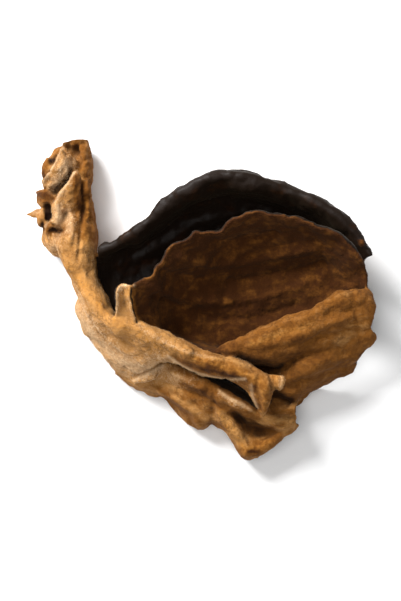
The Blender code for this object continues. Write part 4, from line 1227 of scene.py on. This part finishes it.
def strands(mesh, count, length, half_width, taper, liking):
    """The points, faces and lightness of the strands: thin three-sided cones that curl over the skin."""
    roots, outward, along, light, dice = strand_roots(mesh, count, liking)
    across = np.cross(outward, along)
    lengths = length * dice.uniform(*HAIR_LENGTHS, count)
    curls = dice.uniform(*HAIR_CURLS, count)
    rises = dice.uniform(*HAIR_RISES, count)
    middle, points = roots - outward * half_width, []
    for step, width in enumerate(taper):
        lean = curls * step / len(taper)
        way = along * np.cos(lean)[:, None] + across * np.sin(lean)[:, None]
        side = across * np.cos(lean)[:, None] - along * np.sin(lean)[:, None]
        if step:
            lift = rises * (1 - step / len(taper)) if step > 1 else np.full(count, FIRST_RISE)
            middle = middle + (way + outward * lift[:, None]) * (lengths / len(taper))[:, None]
        reach = half_width * width
        corners = (middle + side * reach, middle - side * reach, middle + outward * reach * HAIR_DEPTH)
        points.append(np.stack(corners[: 3 if width else 1], axis=1))
    points = np.concatenate(points, axis=1)
    rings = len(taper) - 1
    faces = [(0, 2, 1)]
    for ring in range(rings - 1):
        for k in range(3):
            a, b = 3 * ring + k, 3 * ring + (k + 1) % 3
            faces += [(a, b, b + 3), (a, b + 3, a + 3)]
    last = 3 * (rings - 1)
    faces += [(last + k, last + (k + 1) % 3, last + 3) for k in range(3)]
    faces = np.array(faces)[None] + (np.arange(count) * points.shape[1])[:, None, None]
    light = np.repeat(light + dice.normal(0, HAIR_TONE_SPREAD, count), points.shape[1])
    return points.reshape(-1, 3), faces.reshape(-1, 3), light


def dry_hair(colours):
    """Short dry hairs, each as light as the skin that it grows on, or a little lighter."""
    shades = Shades("dry_hair")
    tone = shades.attribute("tone").outputs["Fac"]
    tint = (*colours.umber, 1.0)
    for part, colour in (
        ("tawny_hair", colours.tawny), ("tan_hair", colours.tan), ("pale_hair", colours.hairs)
    ):
        tint = shades.blend(shades.comes_in(tone, part), tint, (*colour, 1.0))
    return shades.finish({"Base Color": tint, **HAIR_SHINE})


class WOODEAR_OT_fuzz(bpy.types.Operator):
    """Grow the short pale hairs that are left on the velvety side"""

    bl_idname = "woodear.fuzz"
    bl_label = "Fuzz"

    def execute(self, context):
        flesh = bpy.data.objects.get("flesh")
        if flesh is None:
            raise RuntimeError("The hairs grow on the flesh, so it is made first")
        sizes = context.scene.wood_ear_sizes
        hair = dry_hair(context.scene.wood_ear_colours)
        for name, many, share, taper, liking in COATS:
            points, faces, light = strands(
                flesh.data, int(sizes.strands * many), sizes.strand_length * share,
                sizes.strand_width * share, taper, liking,
            )
            mesh = bpy.data.meshes.new(name)
            mesh.from_pydata(points.tolist(), [], faces.tolist())
            keep_on_mesh(mesh, "tone", light)
            mesh.materials.append(hair)
            coat = bpy.data.objects.new(name, mesh)
            context.scene.collection.objects.link(coat)
            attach(coat, "root")
        return {"FINISHED"}


def soft_light(name, place, size, power, target):
    bpy.ops.object.light_add(type="AREA", location=place)
    light = bpy.context.object
    light.name = name
    light.data.size = size
    light.data.energy = power
    light.rotation_euler = (Vector(target) - Vector(place)).to_track_quat("-Z", "Y").to_euler()


class WOODEAR_OT_stage(bpy.types.Operator):
    """Lay the pale floor, and set the soft studio lights and the camera that looks straight down"""

    bl_idname = "woodear.stage"
    bl_label = "Stage"

    def execute(self, context):
        clear_selection()
        bpy.ops.mesh.primitive_plane_add(size=FLOOR_SIDE)
        floor = context.object
        floor.name = "floor"
        pale = bpy.data.materials.new("pale_floor")
        pale.use_nodes = True
        surface = pale.node_tree.nodes["Principled BSDF"]
        surface.inputs["Base Color"].default_value = FLOOR_COLOUR
        surface.inputs["Roughness"].default_value = FLOOR_ROUGHNESS
        floor.data.materials.append(pale)
        middle = (CAD_BOX[0] + CAD_BOX[1]) / 2
        for name, place, size, power in LIGHTS:
            soft_light(name, place, size, power, middle)
        world = bpy.data.worlds.new("studio")
        world.use_nodes = True
        sky = world.node_tree.nodes["Background"]
        sky.inputs["Color"].default_value = SKY_COLOUR
        sky.inputs["Strength"].default_value = SKY_STRENGTH
        context.scene.world = world
        context.scene.view_settings.view_transform = "Standard"
        bpy.ops.object.camera_add(location=(middle.x, middle.y, CAMERA_HEIGHT), rotation=(0, 0, 0))
        camera = context.object
        camera.name = "camera"
        seen_height = (CAD_BOX[1].x - CAD_BOX[0].x) / WIDTH_SHARE * PHOTO_HEIGHT / PHOTO_WIDTH
        camera.data.lens = camera.data.sensor_width * (CAMERA_HEIGHT - middle.z) / seen_height
        camera.data.dof.use_dof = False
        context.scene.camera = camera
        return {"FINISHED"}


class WOODEAR_PT_panel(bpy.types.Panel):
    """The mushroom's pieces and stage, in the order in which they are made"""

    bl_label = "Wood Ear"
    bl_idname = "WOODEAR_PT_panel"
    bl_space_type = "VIEW_3D"
    bl_region_type = "UI"
    bl_category = "Wood Ear"

    def draw(self, context):
        layout = self.layout
        for group in (context.scene.wood_ear_sizes, context.scene.wood_ear_colours):
            for name in type(group).__annotations__:
                layout.prop(group, name)
        for operator in STEPS:
            layout.operator(operator.bl_idname)


STEPS = (WOODEAR_OT_flesh, WOODEAR_OT_fuzz, WOODEAR_OT_stage)
CLASSES = (WoodEarSizes, WoodEarColours, *STEPS, WOODEAR_PT_panel)


def register():
    for cls in CLASSES:
        bpy.utils.register_class(cls)
    bpy.types.Scene.wood_ear_sizes = PointerProperty(type=WoodEarSizes)
    bpy.types.Scene.wood_ear_colours = PointerProperty(type=WoodEarColours)


def unregister():
    del bpy.types.Scene.wood_ear_sizes
    del bpy.types.Scene.wood_ear_colours
    for cls in reversed(CLASSES):
        bpy.utils.unregister_class(cls)


def main():
    register()
    bpy.ops.woodear.flesh()
    bpy.ops.woodear.fuzz()
    bpy.ops.woodear.stage()


if __name__ == "__main__":
    main()
